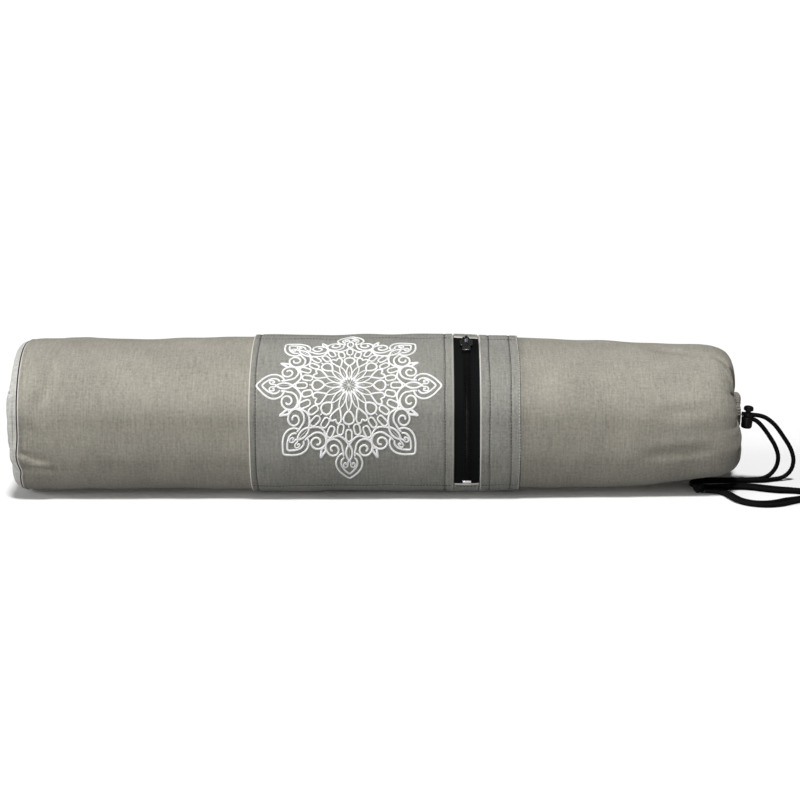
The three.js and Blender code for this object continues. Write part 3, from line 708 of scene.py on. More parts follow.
def domeGrid(arcs, count):
    # The gathered dome, ring by ring, each drawn in round the mouth and bulging past it
    reach, size, fold, rounding, sag = domeTable(count)
    shoulder = rowValues(bodyRows, np.array(1.0))
    y, z = onOutline(arcs)
    rise = bagShape["height"] * shoulder[2] + z * shoulder[1] - bagShape["mouthHeight"]
    oval = np.stack([y * shoulder[0], rise], -1)
    turn = arcs / wholeArc
    circle = np.stack([-np.sin(tau * turn), np.cos(tau * turn)], -1)
    mean = (bagShape["halfWidth"] + bagShape["height"] / 2) * shoulder[0] / 2
    lower = ((1 - np.cos(tau * turn)) / 2) ** 2
    rings = []
    for k in range(count + 1):
        radius = bagShape["neckRadius"]
        if k < count:
            radius = max(radius, size[k] * mean)
        flat = oval * size[k] * (1 - rounding[k]) + circle * radius * rounding[k]
        x = domeStart + bagShape["domeDepth"] * reach[k] + bagShape["domeSag"] * sag[k] * lower
        x = x - dent["depth"] * sag[k] * np.exp(-((turn - dent["turn"]) / dent["width"]) ** 2)
        rings.append(np.stack([x, flat[:, 0], bagShape["mouthHeight"] + flat[:, 1]], -1))
    return np.array(rings), fold


def makeSleeve(settings):
    columns = settings["columns"]
    arcs = wholeArc * np.arange(columns) / columns
    ends = np.array([0, 0.0006, 0.0015, 0.003, 0.0045])
    xs = np.concatenate([ends, np.linspace(0.007, domeStart - bagShape["start"] - 0.003, settings["rows"])])
    xs = xs + bagShape["start"]
    body = clothAt(xs[:, None], arcs[None, :])
    # The rolled edge of the end seam
    inward = xs - bagShape["start"]
    hem = np.clip(1 - inward / settings["hem"], 0, 1)
    body[..., 0] += seamStray(arcs)[None, :] * np.exp(-inward / settings["strayFade"])[:, None]
    dome, fold = domeGrid(arcs, settings["domeRows"])
    fade = np.clip(1 - np.arange(len(dome)) * settings["foldFade"], 0, 1)[:, None]
    grid = np.concatenate([body, dome])
    normal = clothNormals(grid, True)
    if np.sum(normal[:, 0, 2]) < 0:
        normal = -normal
    count = len(xs)
    stand = np.zeros(grid.shape[:2])
    stand[:count] += (settings["hemRise"] * np.sin(math.pi * hem ** 0.7))[:, None]
    stand[count:] += foldsAt(dome[:, :, 0], arcs[None, :]) * fade
    turn = arcs / wholeArc
    away = (turn[None, :] - slit["turn"] - slit["slant"] * fold[:, None]) / slit["width"]
    cut = slit["depth"] * np.exp(-away ** 2) - slit["lip"] * np.exp(-(away - 1.9) ** 2)
    stand[count:] -= pleatAt(turn, 1.0)[None, :] * fold[:, None] + cut * np.clip(fold * 1.6, 0, 1)[:, None]
    outer = grid + normal * stand[..., None]
    inner = grid + normal * (stand - bagShape["wall"])[..., None]
    outer[..., 2] = np.maximum(outer[..., 2], bagShape["floorGap"])
    inner[..., 2] = np.maximum(inner[..., 2], bagShape["floorGap"] + bagShape["wall"])
    steps = np.linalg.norm(np.diff(grid, axis=0), axis=2).mean(1)
    run = np.concatenate([[0], np.cumsum(steps)]) + bagShape["start"]
    uvDown = np.append(arcs, wholeArc)
    uv = np.stack(np.broadcast_arrays(run[:, None], uvDown[None, :]), -1)
    # Painted highlight on the rolled edge of the end seam
    litEdge = np.zeros(grid.shape[:2])
    litEdge[:count] = (inward < settings["litEdgeWidth"])[:, None] * 0.9
    piece = sheetMesh("bag_sleeve", outer, inner, uv, True, litEdge)
    piece.data.materials.append(bagCanvas)
    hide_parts("canvas_sleeve")
    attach(piece, "bag")
    print("sleeve made")


makeSleeve(sleeveSettings)

# The round end and its band
endRows = np.array([
    # share of the outline, share of the puff
    (1.0, 0.0),
    (0.985, 0.43),
    (0.95, 0.74),
    (0.87, 0.92),
    (0.65, 0.985),
    (0.3, 1.0),
    (0.0, 1.0),
])
endSettings = {
    "columns": 180,
    "rows": 30,
    "puff": bagShape["start"] - endLow.x,
    "gap": 0.00015,
    "wrinkle": 0.0006,
    "middleHole": 0.985,
}


def puffAt(share):
    # Stand-out of the round end at a share of its outline, with the table's corners rounded
    shares = endRows[::-1, 0]
    puffs = endRows[::-1, 1]
    return np.mean([np.interp(share + s, shares, puffs) for s in np.linspace(-0.012, 0.012, 7)], axis=0)


def endWrinkles(y, z):
    # Soft pulls that run in from the seam
    angle = np.arctan2(z - bagShape["widest"], y)
    reach = np.hypot(y / bagShape["halfWidth"], (z - bagShape["widest"]) / bagShape["widest"])
    ripple = np.sin(angle * 23 + 1.3) * 0.5 + np.sin(angle * 37 + 0.4) * 0.3
    dimples = np.sin(y * 61 + 1) * np.sin(z * 70)
    return endSettings["wrinkle"] * (ripple * np.clip(reach, 0, 1) ** 3 + dimples)


def endPlace(y, z, share, lift):
    wrinkles = endWrinkles(y, z) * np.clip((1 - share) * 12, 0, 1)
    out = endSettings["puff"] * puffAt(share) + wrinkles + lift
    return np.stack([bagShape["start"] - endSettings["gap"] - out, y, z], -1)


def makeEndPanel(settings):
    first = rowValues(bodyRows, np.array(0.0))
    arcs = wholeArc * np.arange(settings["columns"]) / settings["columns"]
    y, z = onOutline(arcs)
    shares = 1 - np.linspace(0, 1, settings["rows"]) ** 1.7 * settings["middleHole"]
    middle = bagShape["widest"]
    grids = []
    for inset in (0.0, bagShape["wall"]):
        reach = np.hypot(y, z - middle)
        scale = shares[:, None] * ((reach - inset) / reach)[None, :]
        ringY = y[None, :] * scale * first[0]
        ringZ = (middle + (z[None, :] - middle) * scale) * first[1]
        grid = endPlace(ringY, ringZ, np.broadcast_to(shares[:, None], ringY.shape), 0.0)
        grid[..., 0] += inset * np.clip(1 - shares, 0, 0.1)[:, None] * 10
        grid[..., 0] += seamStray(arcs)[None, :] * (shares ** 6)[:, None]
        grid[..., 2] = np.maximum(grid[..., 2], bagShape["floorGap"] + inset)
        grids.append(grid)
    uv = np.stack([grids[0][..., 1], grids[0][..., 2]], -1)
    uv = np.concatenate([uv, uv[:, :1]], 1)
    piece = sheetMesh("round_end", *grids, uv, around=True, openEnd=True)
    # The little hole at the middle of each skin is closed flat
    model = bmesh.new()
    model.from_mesh(piece.data)
    bmesh.ops.holes_fill(model, edges=[edge for edge in model.edges if edge.is_boundary])
    bmesh.ops.recalc_face_normals(model, faces=model.faces)
    model.to_mesh(piece.data)
    model.free()
    smooth(piece, sheetCrease)
    # Painted light: the round end gets the paler canvas
    piece.data.materials.append(litEndCanvas)
    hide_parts("end_panel")
    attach(piece, "bag")


def outlineShare(y, z):
    upper = z >= bagShape["widest"]
    power = np.where(upper, bagShape["upperPower"], bagShape["lowerPower"])
    above = bagShape["height"] - bagShape["widest"]
    below = bagShape["widest"] + bagShape["flattening"]
    span = np.where(upper, above, below)
    rise = np.abs((z - bagShape["widest"]) / span) ** power
    return (np.abs(y / bagShape["halfWidth"]) ** power + rise) ** (1 / power), rise, power


bandSettings = {
    "reach": 0.983,
    "thickness": 0.0014,
    "lift": 0.00095,
    "columns": 90,
    "rows": 22,
    "fold": 0.0022,
    "foldRise": 0.0005,
    "foldDrop": 0.0002,
    "roll": 0.0007,
    "rollDepth": 0.0009,
    "litEdgeWidth": 0.001,
}


def bandGrid(settings, lift):
    first = rowValues(bodyRows, np.array(0.0))
    rowShares = np.linspace(0, 1, settings["rows"])
    z = (bandHigh.z + (bandLow.z - bandHigh.z) * rowShares)[:, None]
    _, rise, power = outlineShare(0.0, z / first[1])
    half = bagShape["halfWidth"] * (1 - rise) ** (1 / power) * settings["reach"] * first[0]
    across = np.sin(math.pi / 2 * np.linspace(-1, 1, settings["columns"]))[None, :]
    y = half * across
    z = np.broadcast_to(z, y.shape)
    share, _, _ = outlineShare(y / first[0], z / first[1])
    return endPlace(y, z, share, lift)


def makeEndBand(settings):
    outer = bandGrid(settings, settings["lift"] + settings["thickness"])
    inner = bandGrid(settings, settings["lift"])
    edge = np.minimum(outer[..., 2] - outer[-1, 0, 2], outer[0, 0, 2] - outer[..., 2])
    hem = np.clip(1 - np.abs(edge - settings["fold"]) / settings["fold"], 0, 1)
    outer[..., 0] += settings["foldRise"] * hem - settings["foldDrop"] * (edge < settings["fold"])
    outer[..., 0] += np.clip(1 - edge / settings["roll"], 0, 1) ** 2 * settings["rollDepth"]
    uv = np.stack([outer[..., 1], outer[..., 2]], -1)
    # Painted highlight along the band's folded top and bottom edges
    litEdge = (edge < settings["litEdgeWidth"]) * 0.7
    piece = sheetMesh("end_strap", outer, inner, uv, False, litEdge)
    # Painted light: the band gets the paler canvas
    piece.data.materials.append(litEndCanvas)
    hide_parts("end_band")
    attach(piece, "bag")


makeEndPanel(endSettings)
makeEndBand(bandSettings)
print("round end made")

# The gathered casing round the mouth
casingSettings = {
    "around": 336,
    "sides": 20,
    "gathers": 41,
    "depth": 0.00075,
    "thickness": 0.0072,
    "girth": 0.023,
    "length": 0.2,
}


def makeCasing(settings):
    shake = random.Random(5)
    weights = [shake.uniform(0.45, 1.2) for _ in range(settings["gathers"])]
    slants = [shake.uniform(-0.5, 0.9) for _ in range(settings["gathers"])]
    turn = np.arange(settings["around"]) / settings["around"]
    roll = tau * np.arange(settings["sides"]) / settings["sides"]
    middleX = (casingLow.x + casingHigh.x) / 2
    halfX = (casingHigh.x - casingLow.x) / 2
    radius = (casingHigh.y - casingLow.y) / 2 - settings["thickness"] / 2 - settings["depth"] * 0.6
    ring = []
    for t in turn:
        step = t * settings["gathers"]
        index = int(step) % settings["gathers"]
        phase = step - math.floor(step) + slants[index] * 0.12 * np.sin(roll)
        crest = np.abs(np.sin(math.pi * phase)) ** 0.7 * weights[index]
        slow = 0.0004 * math.sin(tau * t * 3 + 1) + 0.0003 * math.sin(tau * t * 5)
        swell = settings["depth"] * (crest - 0.6) + slow
        r = radius + (settings["thickness"] / 2 + swell) * np.cos(roll)
        x = middleX + (halfX - settings["depth"] * 0.5 + swell * 0.7) * np.sin(roll)
        side = -np.sin(tau * t)
        up = np.cos(tau * t)
        ring.append(np.stack([x, r * side, bagShape["mouthHeight"] + r * up], -1))
    grid = np.array(ring)
    rows, columns = grid.shape[:2]
    faces, uvs = [], []
    for i in range(rows):
        row, after = i * columns, (i + 1) % rows * columns
        for j in range(columns):
            onward = (j + 1) % columns
            faces.append([row + j, row + onward, after + onward, after + j])
            u0, u1 = (k * settings["girth"] / columns for k in (j, j + 1))
            v0, v1 = (k * settings["length"] / rows for k in (i, i + 1))
            uvs.append([(u0, v0), (u1, v0), (u1, v1), (u0, v1)])
    piece = facedOut(meshFrom("mouth_ruffle", grid.reshape(-1, 3), faces, uvs, np.zeros(rows * columns)))
    smooth(piece)
    piece.data.materials.append(bagCanvas)
    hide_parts("mouth_casing")
    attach(piece, "bag")
    print("mouth casing made")


makeCasing(casingSettings)

# The sewn-on pocket: two panels with a zip between them, each a folded-edge patch of cloth
pocketSettings = {
    "top": -0.020,
    "bottom": 0.218,
    "lift": 0.00045,
    "thickness": 0.0015,
    "roll": 0.0009,
    "hem": 0.0026,
    "zipTop": 0.002,
    "zipBottom": 0.191,
    "groove": 0.0008,
    "grooveWidth": 0.0009,
    "pucker": 0.35,
    "hemRise": 0.00035,
    "leastHeight": 0.00008,
    "litEdgeWidth": 0.0008,
    "litEdgeStrength": 1.8,
}
# Rows of stitches that run down the cloth, by x, then those that run along it, by distance down
stitchColumns = {"left": -0.1166, "beforeZip": 0.0650, "afterZip": 0.1079, "right": 0.1283}
stitchRows = {"topOuter": -0.0135, "topInner": 0.0055, "bottomInner": 0.1960, "bottomOuter": 0.2105}
stitchSettings = {
    "length": 0.0023,
    "pitch": 0.0031,
    "radius": 0.00042,
    "edgeRadius": 0.00052,
    "sides": 6,
    "rings": 5,
    "sideLength": 0.0003,
    "inset": 0.002,
    "edgeInset": 0.0012,
    "wander": 0.00035,
    "tremble": 0.0001,
}


leastSpacing = 0.00008


def spacing(low, high, step, edge, lines):
    # Rows about step apart, closer at the two edges and at the lines of stitches
    inner = np.linspace(low + edge * 1.6, high - edge * 1.6, max(int((high - low) / step), 2))
    rim = np.array([0, 0.12, 0.35, 0.7, 1.1]) * edge
    groove = np.array([-1.6, -1.0, -0.5, 0, 0.5, 1.0, 1.6]) * pocketSettings["grooveWidth"]
    rows = np.concatenate([low + rim, inner, high - rim] + [line + groove for line in lines])
    rows = np.unique(np.round(rows[(rows >= low) & (rows <= high)], 6))
    return rows[np.concatenate([[True], np.diff(rows) > leastSpacing])]


def patchLift(x, down, box, settings):
    # Height of a patch's face over the bag: rolled at its edges, with a fold inside them
    x0, x1, d0, d1 = box
    edge = np.minimum(np.minimum(x - x0, x1 - x), np.minimum(down - d0, d1 - down))
    rolled = np.sqrt(np.clip(1 - np.clip(1 - edge / settings["roll"], 0, 1) ** 2, 0, 1))
    hem = np.exp(-((edge - settings["hem"] * 0.45) / (settings["hem"] * 0.4)) ** 2) * settings["hemRise"]
    height = settings["thickness"] * rolled + hem * rolled
    for lines, across, along in ((stitchColumns, x, down), (stitchRows, down, x)):
        pucker = 1 + settings["pucker"] * np.sin(tau * along / stitchSettings["pitch"])
        for at in lines.values():
            groove = np.exp(-((across - at) / settings["grooveWidth"]) ** 2)
            height -= settings["groove"] * pucker * groove * rolled
    return settings["lift"] + np.maximum(height, settings["leastHeight"])


def makePatch(name, node, x0, x1, d0, d1, light, step=0.0022):
    # light says which edges get a painted highlight: left, right, top, bottom
    settings = pocketSettings
    xs = spacing(x0, x1, step, settings["roll"], stitchColumns.values())
    ds = spacing(d0, d1, step, settings["roll"], stitchRows.values())
    x, down = np.meshgrid(xs, ds, indexing="ij")
    outer = clothAt(x, down, patchLift(x, down, (x0, x1, d0, d1), settings))
    inner = clothAt(x, down, settings["lift"])
    sides = [x - x0, x1 - x, down - d0, d1 - down]
    # Painted highlight fading in from the chosen edges
    litEdge = np.zeros(x.shape)
    for shown, distance in zip(light, sides):
        if shown:
            faded = settings["litEdgeStrength"] - distance / settings["litEdgeWidth"]
            litEdge = np.maximum(litEdge, np.clip(faded, 0, 1))
    uv = np.stack([x, down], -1)
    piece = sheetMesh(name, outer, inner, uv, False, litEdge)
    piece.data.materials.append(pocketCanvas)
    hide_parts(node)
    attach(piece, "bag")


zipLeft, zipRight = panelHigh.x, stripLow.x
patchTop, patchBottom = pocketSettings["top"], pocketSettings["bottom"]
zipTop, zipBottom = pocketSettings["zipTop"], pocketSettings["zipBottom"]
makePatch("pocket_front", "pocket_panel", panelLow.x, zipLeft, patchTop, patchBottom,
          light=(True, True, False, False))
makePatch("pocket_side", "pocket_strip", zipRight, stripHigh.x, patchTop, patchBottom,
          light=(True, False, False, False))
makePatch("zip_end_top", "zip_tab_top", tabLow.x, tabHigh.x, patchTop, zipTop,
          step=0.0015, light=(False, False, False, True))
makePatch("zip_end_bottom", "zip_tab_bottom", tabLow.x, tabHigh.x, zipBottom, patchBottom,
          step=0.0015, light=(False, False, True, False))
print("pocket made")

# Stitches: short rounded threads laid end to end along a line on the cloth


def capsule(settings):
    # Unit stitch: where its rings stand along it, how thick they are, and the angles round it
    along = np.linspace(0, 1, settings["rings"])
    profile = np.sin(math.pi * (0.06 + 0.88 * along)) ** 0.5
    angle = tau * np.arange(settings["sides"]) / settings["sides"]
    return along, profile, angle


def stitchRun(name, starts, ends, lift, finish, radius):
    # starts and ends are x and down of each stitch
    along, profile, angle = capsule(stitchSettings)
    starts, ends = np.asarray(starts), np.asarray(ends)
    count, rings, sides = len(starts), len(along), len(angle)
    flat = starts[:, None, :] + (ends - starts)[:, None, :] * along[None, :, None]
    arch = 0.9 + 0.25 * np.sin(math.pi * along)
    low = clothAt(flat[..., 0], flat[..., 1], lift)
    high = clothAt(flat[..., 0], flat[..., 1], lift + 0.001)
    up = (high - low) / 0.001
    centre = low + up * (radius * (arch - 0.7))[None, :, None]
    run = np.gradient(centre, axis=1)
    run /= np.linalg.norm(run, axis=2)[..., None]
    side = np.cross(run, up)
    side /= np.linalg.norm(side, axis=2)[..., None]
    size = (radius * profile)[None, :, None, None]
    spread = side[:, :, None, :] * np.cos(angle)[None, None, :, None]
    spread = spread + up[:, :, None, :] * np.sin(angle)[None, None, :, None]
    points = centre[:, :, None, :] + spread * size
    points = points.reshape(-1, 3)
    faces, uvs = [], []
    distance = np.linalg.norm(ends - starts, axis=1)
    for k in range(count):
        base = k * rings * sides
        for i in range(rings - 1):
            for j in range(sides):
                a = base + i * sides + j
                b = base + i * sides + (j + 1) % sides
                faces.append([a, b, b + sides, a + sides])
                u0, u1 = distance[k] * along[i], distance[k] * along[i + 1]
                v0, v1 = j * stitchSettings["sideLength"], (j + 1) * stitchSettings["sideLength"]
                uvs.extend([(u0, v0), (u0, v1), (u1, v1), (u1, v0)])
        faces.append([base + j for j in range(sides)][::-1])
        faces.append([base + (rings - 1) * sides + j for j in range(sides)])
        uvs.extend([(0, 0)] * (2 * sides))
    piece = facedOut(meshFrom(name, points, faces, uvs))
    smooth(piece)
    piece.data.materials.append(finish)
    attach(piece, "bag")


def stitchLine(x0, d0, x1, d1, shake):
    # Where each stitch of one line starts and ends, a little uneven
    settings = stitchSettings
    whole = math.hypot(x1 - x0, d1 - d0)
    count = int(whole / settings["pitch"])
    pitch = whole / count
    way = np.array([(x1 - x0) / whole, (d1 - d0) / whole])
    side = np.array([-way[1], way[0]])
    starts, ends = [], []
    for k in range(count):
        wander = math.sin(k * 0.21 + x0 * 90) + 0.34 * math.sin(k * 0.9)
        aside = settings["wander"] * wander + shake.uniform(-settings["tremble"], settings["tremble"])
        begin = np.array([x0, d0]) + way * (k * pitch) + side * aside
        length = settings["length"] * shake.uniform(0.92, 1.06)
        starts.append(begin)
        ends.append(begin + way * length + side * shake.uniform(-settings["tremble"], settings["tremble"]))
    return starts, ends


def makeTopstitching():
    shake = random.Random(3)
    inset = stitchSettings["inset"]
    top, bottom = patchTop + inset, patchBottom - inset
    lines = [(at, top, at, bottom) for at in stitchColumns.values()]
    for at in stitchRows.values():
        for x0, x1 in ((panelLow.x, zipLeft), (zipLeft, zipRight), (zipRight, stripHigh.x)):
            lines.append((x0 + inset, at, x1 - inset, at))
    starts, ends = [], []
    for line in lines:
        someStarts, someEnds = stitchLine(*line, shake)
        starts += someStarts
        ends += someEnds
    sewn = []
    for x, down in starts:
        besideZip = x <= zipLeft - inset / 2 or x >= zipRight + inset / 2
        sewn.append(besideZip or down <= zipTop - inset or down >= zipBottom + inset)
    starts = [place for place, kept in zip(starts, sewn) if kept]
    ends = [place for place, kept in zip(ends, sewn) if kept]
    level = pocketSettings["lift"] + pocketSettings["thickness"] - pocketSettings["groove"] * 0.6
    stitchRun("pocket_stitches", starts, ends, level, seamThread, stitchSettings["radius"])
    edge = stripHigh.x - stitchSettings["edgeInset"]
    starts, ends = stitchLine(edge, top, edge, bottom, shake)
    level = pocketSettings["lift"] + pocketSettings["thickness"] * 0.85
    stitchRun("pocket_edge_stitches", starts, ends, level, edgeThread, stitchSettings["edgeRadius"])
    print("topstitching made")


makeTopstitching()

# The embroidered mandala. Lengths are shares of its radius: along an axis and across it.
mandalaSettings = {
    "radius": 0.0885,
    "x": -0.0268,
    "down": 0.0888,
    "lowerStretch": 1.06,
    "line": 0.0020,
    "fineLine": 0.0013,
    "height": 0.0007,
    "step": 0.0009,
    "lift": 0.00195,
}
# Half outlines of the hearts, petals and spikes
heartOuter = [(0.7, 0.052), (0.706, 0.078), (0.732, 0.115), (0.79, 0.141), (0.85, 0.136), (0.91, 0.103),
              (0.962, 0.053), (1.0, 0.0)]
heartInner = [(0.748, 0.052), (0.765, 0.072), (0.79, 0.085), (0.825, 0.086), (0.865, 0.07), (0.905, 0.04),
              (0.938, 0.0)]
heartCurl = [(0.785, 0.0), (0.802, 0.014), (0.83, 0.015), (0.853, 0.024), (0.862, 0.04), (0.85, 0.057),
             (0.828, 0.061), (0.808, 0.052), (0.808, 0.039), (0.822, 0.034), (0.832, 0.041)]
heartStem = [(0.605, 0.0), (0.64, 0.02), (0.68, 0.032), (0.73, 0.03), (0.765, 0.016), (0.785, 0.0)]
spear = [(0.065, 0.0), (0.1, 0.014), (0.15, 0.027), (0.2, 0.025), (0.24, 0.014), (0.262, 0.0)]
petalCell = [(0.262, 0.0), (0.285, 0.028), (0.318, 0.05), (0.352, 0.056), (0.38, 0.044), (0.392, 0.022),
             (0.397, 0.0)]
leafCell = [(0.253, 0.0), (0.285, 0.022), (0.32, 0.042), (0.352, 0.058), (0.384, 0.058), (0.402, 0.042),
            (0.398, 0.02), (0.376, 0.0)]
spikeSide = [(0.70, 0.0), (0.704, 0.022), (0.735, 0.02), (0.77, 0.01), (0.805, 0.0)]
# Turn in degrees round a scroll's own middle, and its distance from it
scrollTurns = np.array([
    (-56, 0.130), (-75, 0.108), (-95, 0.096), (-135, 0.106), (-180, 0.114), (-225, 0.104),
    (-262, 0.082), (-300, 0.069), (-340, 0.064), (-400, 0.060), (-450, 0.054), (-495, 0.051),
    (-540, 0.047), (-590, 0.038), (-640, 0.026), (-690, 0.014),
])
scrollPlace = {"along": 0.664, "across": 0.168}
# The ring of 32 loops, from and to: those that end at a cusp of the bows, and those between
loopReaches = ((0.452, 0.578), (0.402, 0.516))
loopHalf = 0.031
bowShape = {"count": 16, "reach": 0.615, "dip": 0.085}


def turnedBy(points, degrees):
    angle = math.radians(degrees)
    c, s = math.cos(angle), math.sin(angle)
    points = np.asarray(points, float)
    return np.stack([points[:, 0] * c - points[:, 1] * s, points[:, 0] * s + points[:, 1] * c], -1)


def mirrored(points):
    return np.asarray(points, float) * [1, -1]


def bothSides(half):
    # One line from a half outline that begins and ends on the axis
    half = np.asarray(half, float)
    return np.vstack([half, mirrored(half)[::-1][1:]])


def mandalaLines(settings):
    # Every line of the mandala as points across and down the cloth, with its width
    step = settings["step"] / settings["radius"]
    wide, fine = settings["line"], settings["fineLine"]
    lines = []

    def add(points, width, turn, straight=False):
        line = points if straight else splineThrough(points, step)
        lines.append((turnedBy(line, turn), width))

    turns = np.radians(np.linspace(scrollTurns[0, 0], scrollTurns[-1, 0], 90))
    reach = np.interp(np.degrees(-turns), -scrollTurns[:, 0], scrollTurns[:, 1])
    scroll = np.stack([reach * np.cos(turns), reach * np.sin(turns)], -1)[::2]
    scroll = scroll + [scrollPlace["along"], scrollPlace["across"]]
    for k in range(8):
        axis = 45 * k
        add(bothSides(heartOuter), wide, axis)
        add(bothSides(heartInner), wide, axis)
        add(bothSides(heartStem), wide, axis)
        add([(0.62, 0), (0.77, 0)], fine * 0.47, axis, True)
        for side in (np.asarray, mirrored):
            add(side(heartCurl), wide * 0.85, axis)
            add(side(scroll), wide, axis)
        add(bothSides(petalCell), wide, axis)
        add(bothSides(spear), fine * 1.05, axis)
        add([(0.398, 0), (0.432, 0)], wide, axis, True)
        between = axis + 22.5
        add(bothSides(leafCell), wide * 0.95, between)
        add(bothSides(spikeSide), wide * 1.2, between)
        add(bothSides(spear), fine * 1.05, between)
        add([(0.0, 0), (0.17, 0)], fine * 0.7, between, True)
        add([(0.05, 0), (0.17, 0)], fine * 0.7, axis, True)
    quarter = np.linspace(0, math.pi / 2, 5)
    rounded = np.stack([loopHalf * (1 - np.cos(quarter)), loopHalf * np.sin(quarter)], -1)
    for k in range(32):
        near, far = loopReaches[k % 2]
        loop = np.vstack([rounded + [near, 0], rounded[::-1] * [-1, 1] + [far, 0]])
        add(bothSides(loop), wide * 0.9, 360 / 32 * k)
    part = np.linspace(0, 1, 9)
    angle = part * tau / bowShape["count"]
    reach = bowShape["reach"] - bowShape["dip"] * np.sin(math.pi * part).clip(0) ** 0.8
    bow = np.stack([reach * np.cos(angle), reach * np.sin(angle)], -1)
    for k in range(bowShape["count"]):
        add(bow, wide, 360 / bowShape["count"] * k)
    return lines


# The ribbon's half-round section: across as shares of its half-width, and height as shares of its own
ribbonAcross = np.array([-1, -0.82, -0.45, 0, 0.45, 0.82, 1, 0])
ribbonHeight = np.array([-0.17, 0.6, 0.914, 1, 0.914, 0.6, -0.17, -0.43])


def ribbonRings(settings, points, width):
    # Satin stitch over a line, ring by ring, and how far along the line each ring is
    flat = points * settings["radius"]
    along = np.gradient(flat, axis=0)
    along /= np.maximum(np.linalg.norm(along, axis=1), 1e-9)[:, None]
    side = np.stack([-along[:, 1], along[:, 0]], -1)
    taper = np.ones((len(flat), 1))
    taper[0] = taper[-1] = 0.6
    spread = ribbonAcross * (width / 2) * taper
    place = flat[:, None, :] + side[:, None, :] * spread[..., None]
    lift = settings["lift"] + settings["height"] * ribbonHeight * (0.7 + 0.3 * taper)
    below = place[..., 1]
    stretch = np.where(below > 0, settings["lowerStretch"], 1)
    places = clothAt(settings["x"] + place[..., 0], settings["down"] + below * stretch, lift)
    return places, lengthsAlong(flat)


def makeMandala(settings):
    points, faces, uvs = [], [], []
    count = 0
    sides = len(ribbonAcross)
    for line, width in mandalaLines(settings):
        rings, run = ribbonRings(settings, line, width)
        last = count + (len(rings) - 1) * sides
        points.append(rings.reshape(-1, 3))
        for i in range(len(rings) - 1):
            for j in range(sides):
                a = count + i * sides + j
                b = count + i * sides + (j + 1) % sides
                faces.append([a, b, b + sides, a + sides])
                v0, v1 = j * width / 6, (j + 1) * width / 6
                uvs.extend([(run[i], v0), (run[i], v1), (run[i + 1], v1), (run[i + 1], v0)])
        faces.append([count + j for j in range(sides)][::-1])
        faces.append([last + j for j in range(sides)])
        uvs.extend([(0, 0)] * (2 * sides))
        count = last + sides
    piece = facedOut(meshFrom("mandala_embroidery", np.concatenate(points), faces, uvs))
    smooth(piece, 60)
    piece.data.materials.append(whiteThread)
    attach(piece, "bag")
    print("mandala made,", len(piece.data.polygons), "faces")


makeMandala(mandalaSettings)

# The zip: tapes, coil, slider, pull and bottom stop
zipSettings = {
    "centre": (panelHigh.x + stripLow.x) / 2,
    "gap": 0.0003,
    "tape": 0.0008,
    "tapeRows": (12, 130),
    "rib": 0.00012,
    "ribPitch": 0.0021,
    "tapeInner": 0.3,
    "halfCoil": 0.0034,
    "coilEnd": 0.001,
    "coilSink": 0.0003,
    "pitch": 0.00165,
    "toothHeight": 0.0019,
    "toothReach": 1.12,
    "toothWidth": 0.44,
}


def makeTapes(settings):
    # The tapes meet under the coil
    gap, centre = settings["gap"], settings["centre"]
    reach = settings["halfCoil"] * settings["tapeInner"]
    ds = np.linspace(zipTop + gap, zipBottom - gap, settings["tapeRows"][1])
    spans = (("zip_tape_1", "zip_tape_left", zipLeft + gap, centre - reach),
             ("zip_tape_2", "zip_tape_right", centre + reach, zipRight - gap))
    for name, node, x0, x1 in spans:
        xs = np.linspace(x0, x1, settings["tapeRows"][0])
        x, down = np.meshgrid(xs, ds, indexing="ij")
        rib = settings["rib"] * np.sin(tau * (x - x0) / settings["ribPitch"])
        outer = clothAt(x, down, pocketSettings["lift"] + settings["tape"] + rib)
        inner = clothAt(x, down, pocketSettings["lift"])
        piece = sheetMesh(name, outer, inner, np.stack([x - centre, down], -1))
        piece.data.materials.append(zipTape)
        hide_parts(node)
        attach(piece, "bag")


def makeTooth(settings):
    # One loop of the coil, lying across the zip, modelled flat at the origin
    bpy.ops.object.select_all(action="DESELECT")
    bpy.ops.mesh.primitive_cube_add(size=1)
    tooth = bpy.context.active_object
    bpy.ops.object.mode_set(mode="EDIT")
    bpy.ops.mesh.select_all(action="SELECT")
    length = settings["halfCoil"] * settings["toothReach"]
    overlap = settings["halfCoil"] * (1 - settings["toothReach"] / 2)
    width = settings["pitch"] * settings["toothWidth"]
    bpy.ops.transform.resize(value=(length, width, settings["toothHeight"]))
    bpy.ops.transform.translate(value=(-overlap, 0, settings["toothHeight"] / 2))
    bpy.ops.mesh.bevel(offset=settings["pitch"] * 0.2, segments=2, affect="EDGES")
    bpy.ops.object.mode_set(mode="OBJECT")
    return tooth


def makeCoil(settings):
    tooth = makeTooth(settings)
    local = np.array([v.co[:] for v in tooth.data.vertices])
    polygons = [list(p.vertices) for p in tooth.data.polygons]
    bpy.data.objects.remove(tooth)
    top, bottom = zipTop + settings["coilEnd"], zipBottom - settings["coilEnd"]
    count = int((bottom - top) / settings["pitch"])
    points, faces = [], []
    base = pocketSettings["lift"] + settings["coilSink"]
    for side, shift in ((-1, 0), (1, 0.5)):
        for k in range(count):
            middle = top + (k + shift) * settings["pitch"]
            start = len(points) * len(local)
            for polygon in polygons:
                faces.append([start + v for v in (polygon[::-1] if side > 0 else polygon)])
            x = settings["centre"] + local[:, 0] * side
            points.append(clothAt(x, middle + local[:, 1], base + local[:, 2]))
    piece = facedOut(meshFrom("zip_teeth_rows", np.concatenate(points), faces))
    smooth(piece, 40)
    piece.data.materials.append(zipTeeth)
    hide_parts("zip_coil")
    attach(piece, "bag")


roundedSettings = {"segments": 3, "merge": 0.000005, "flat": 1, "sharp": 28, "smooth": 35}


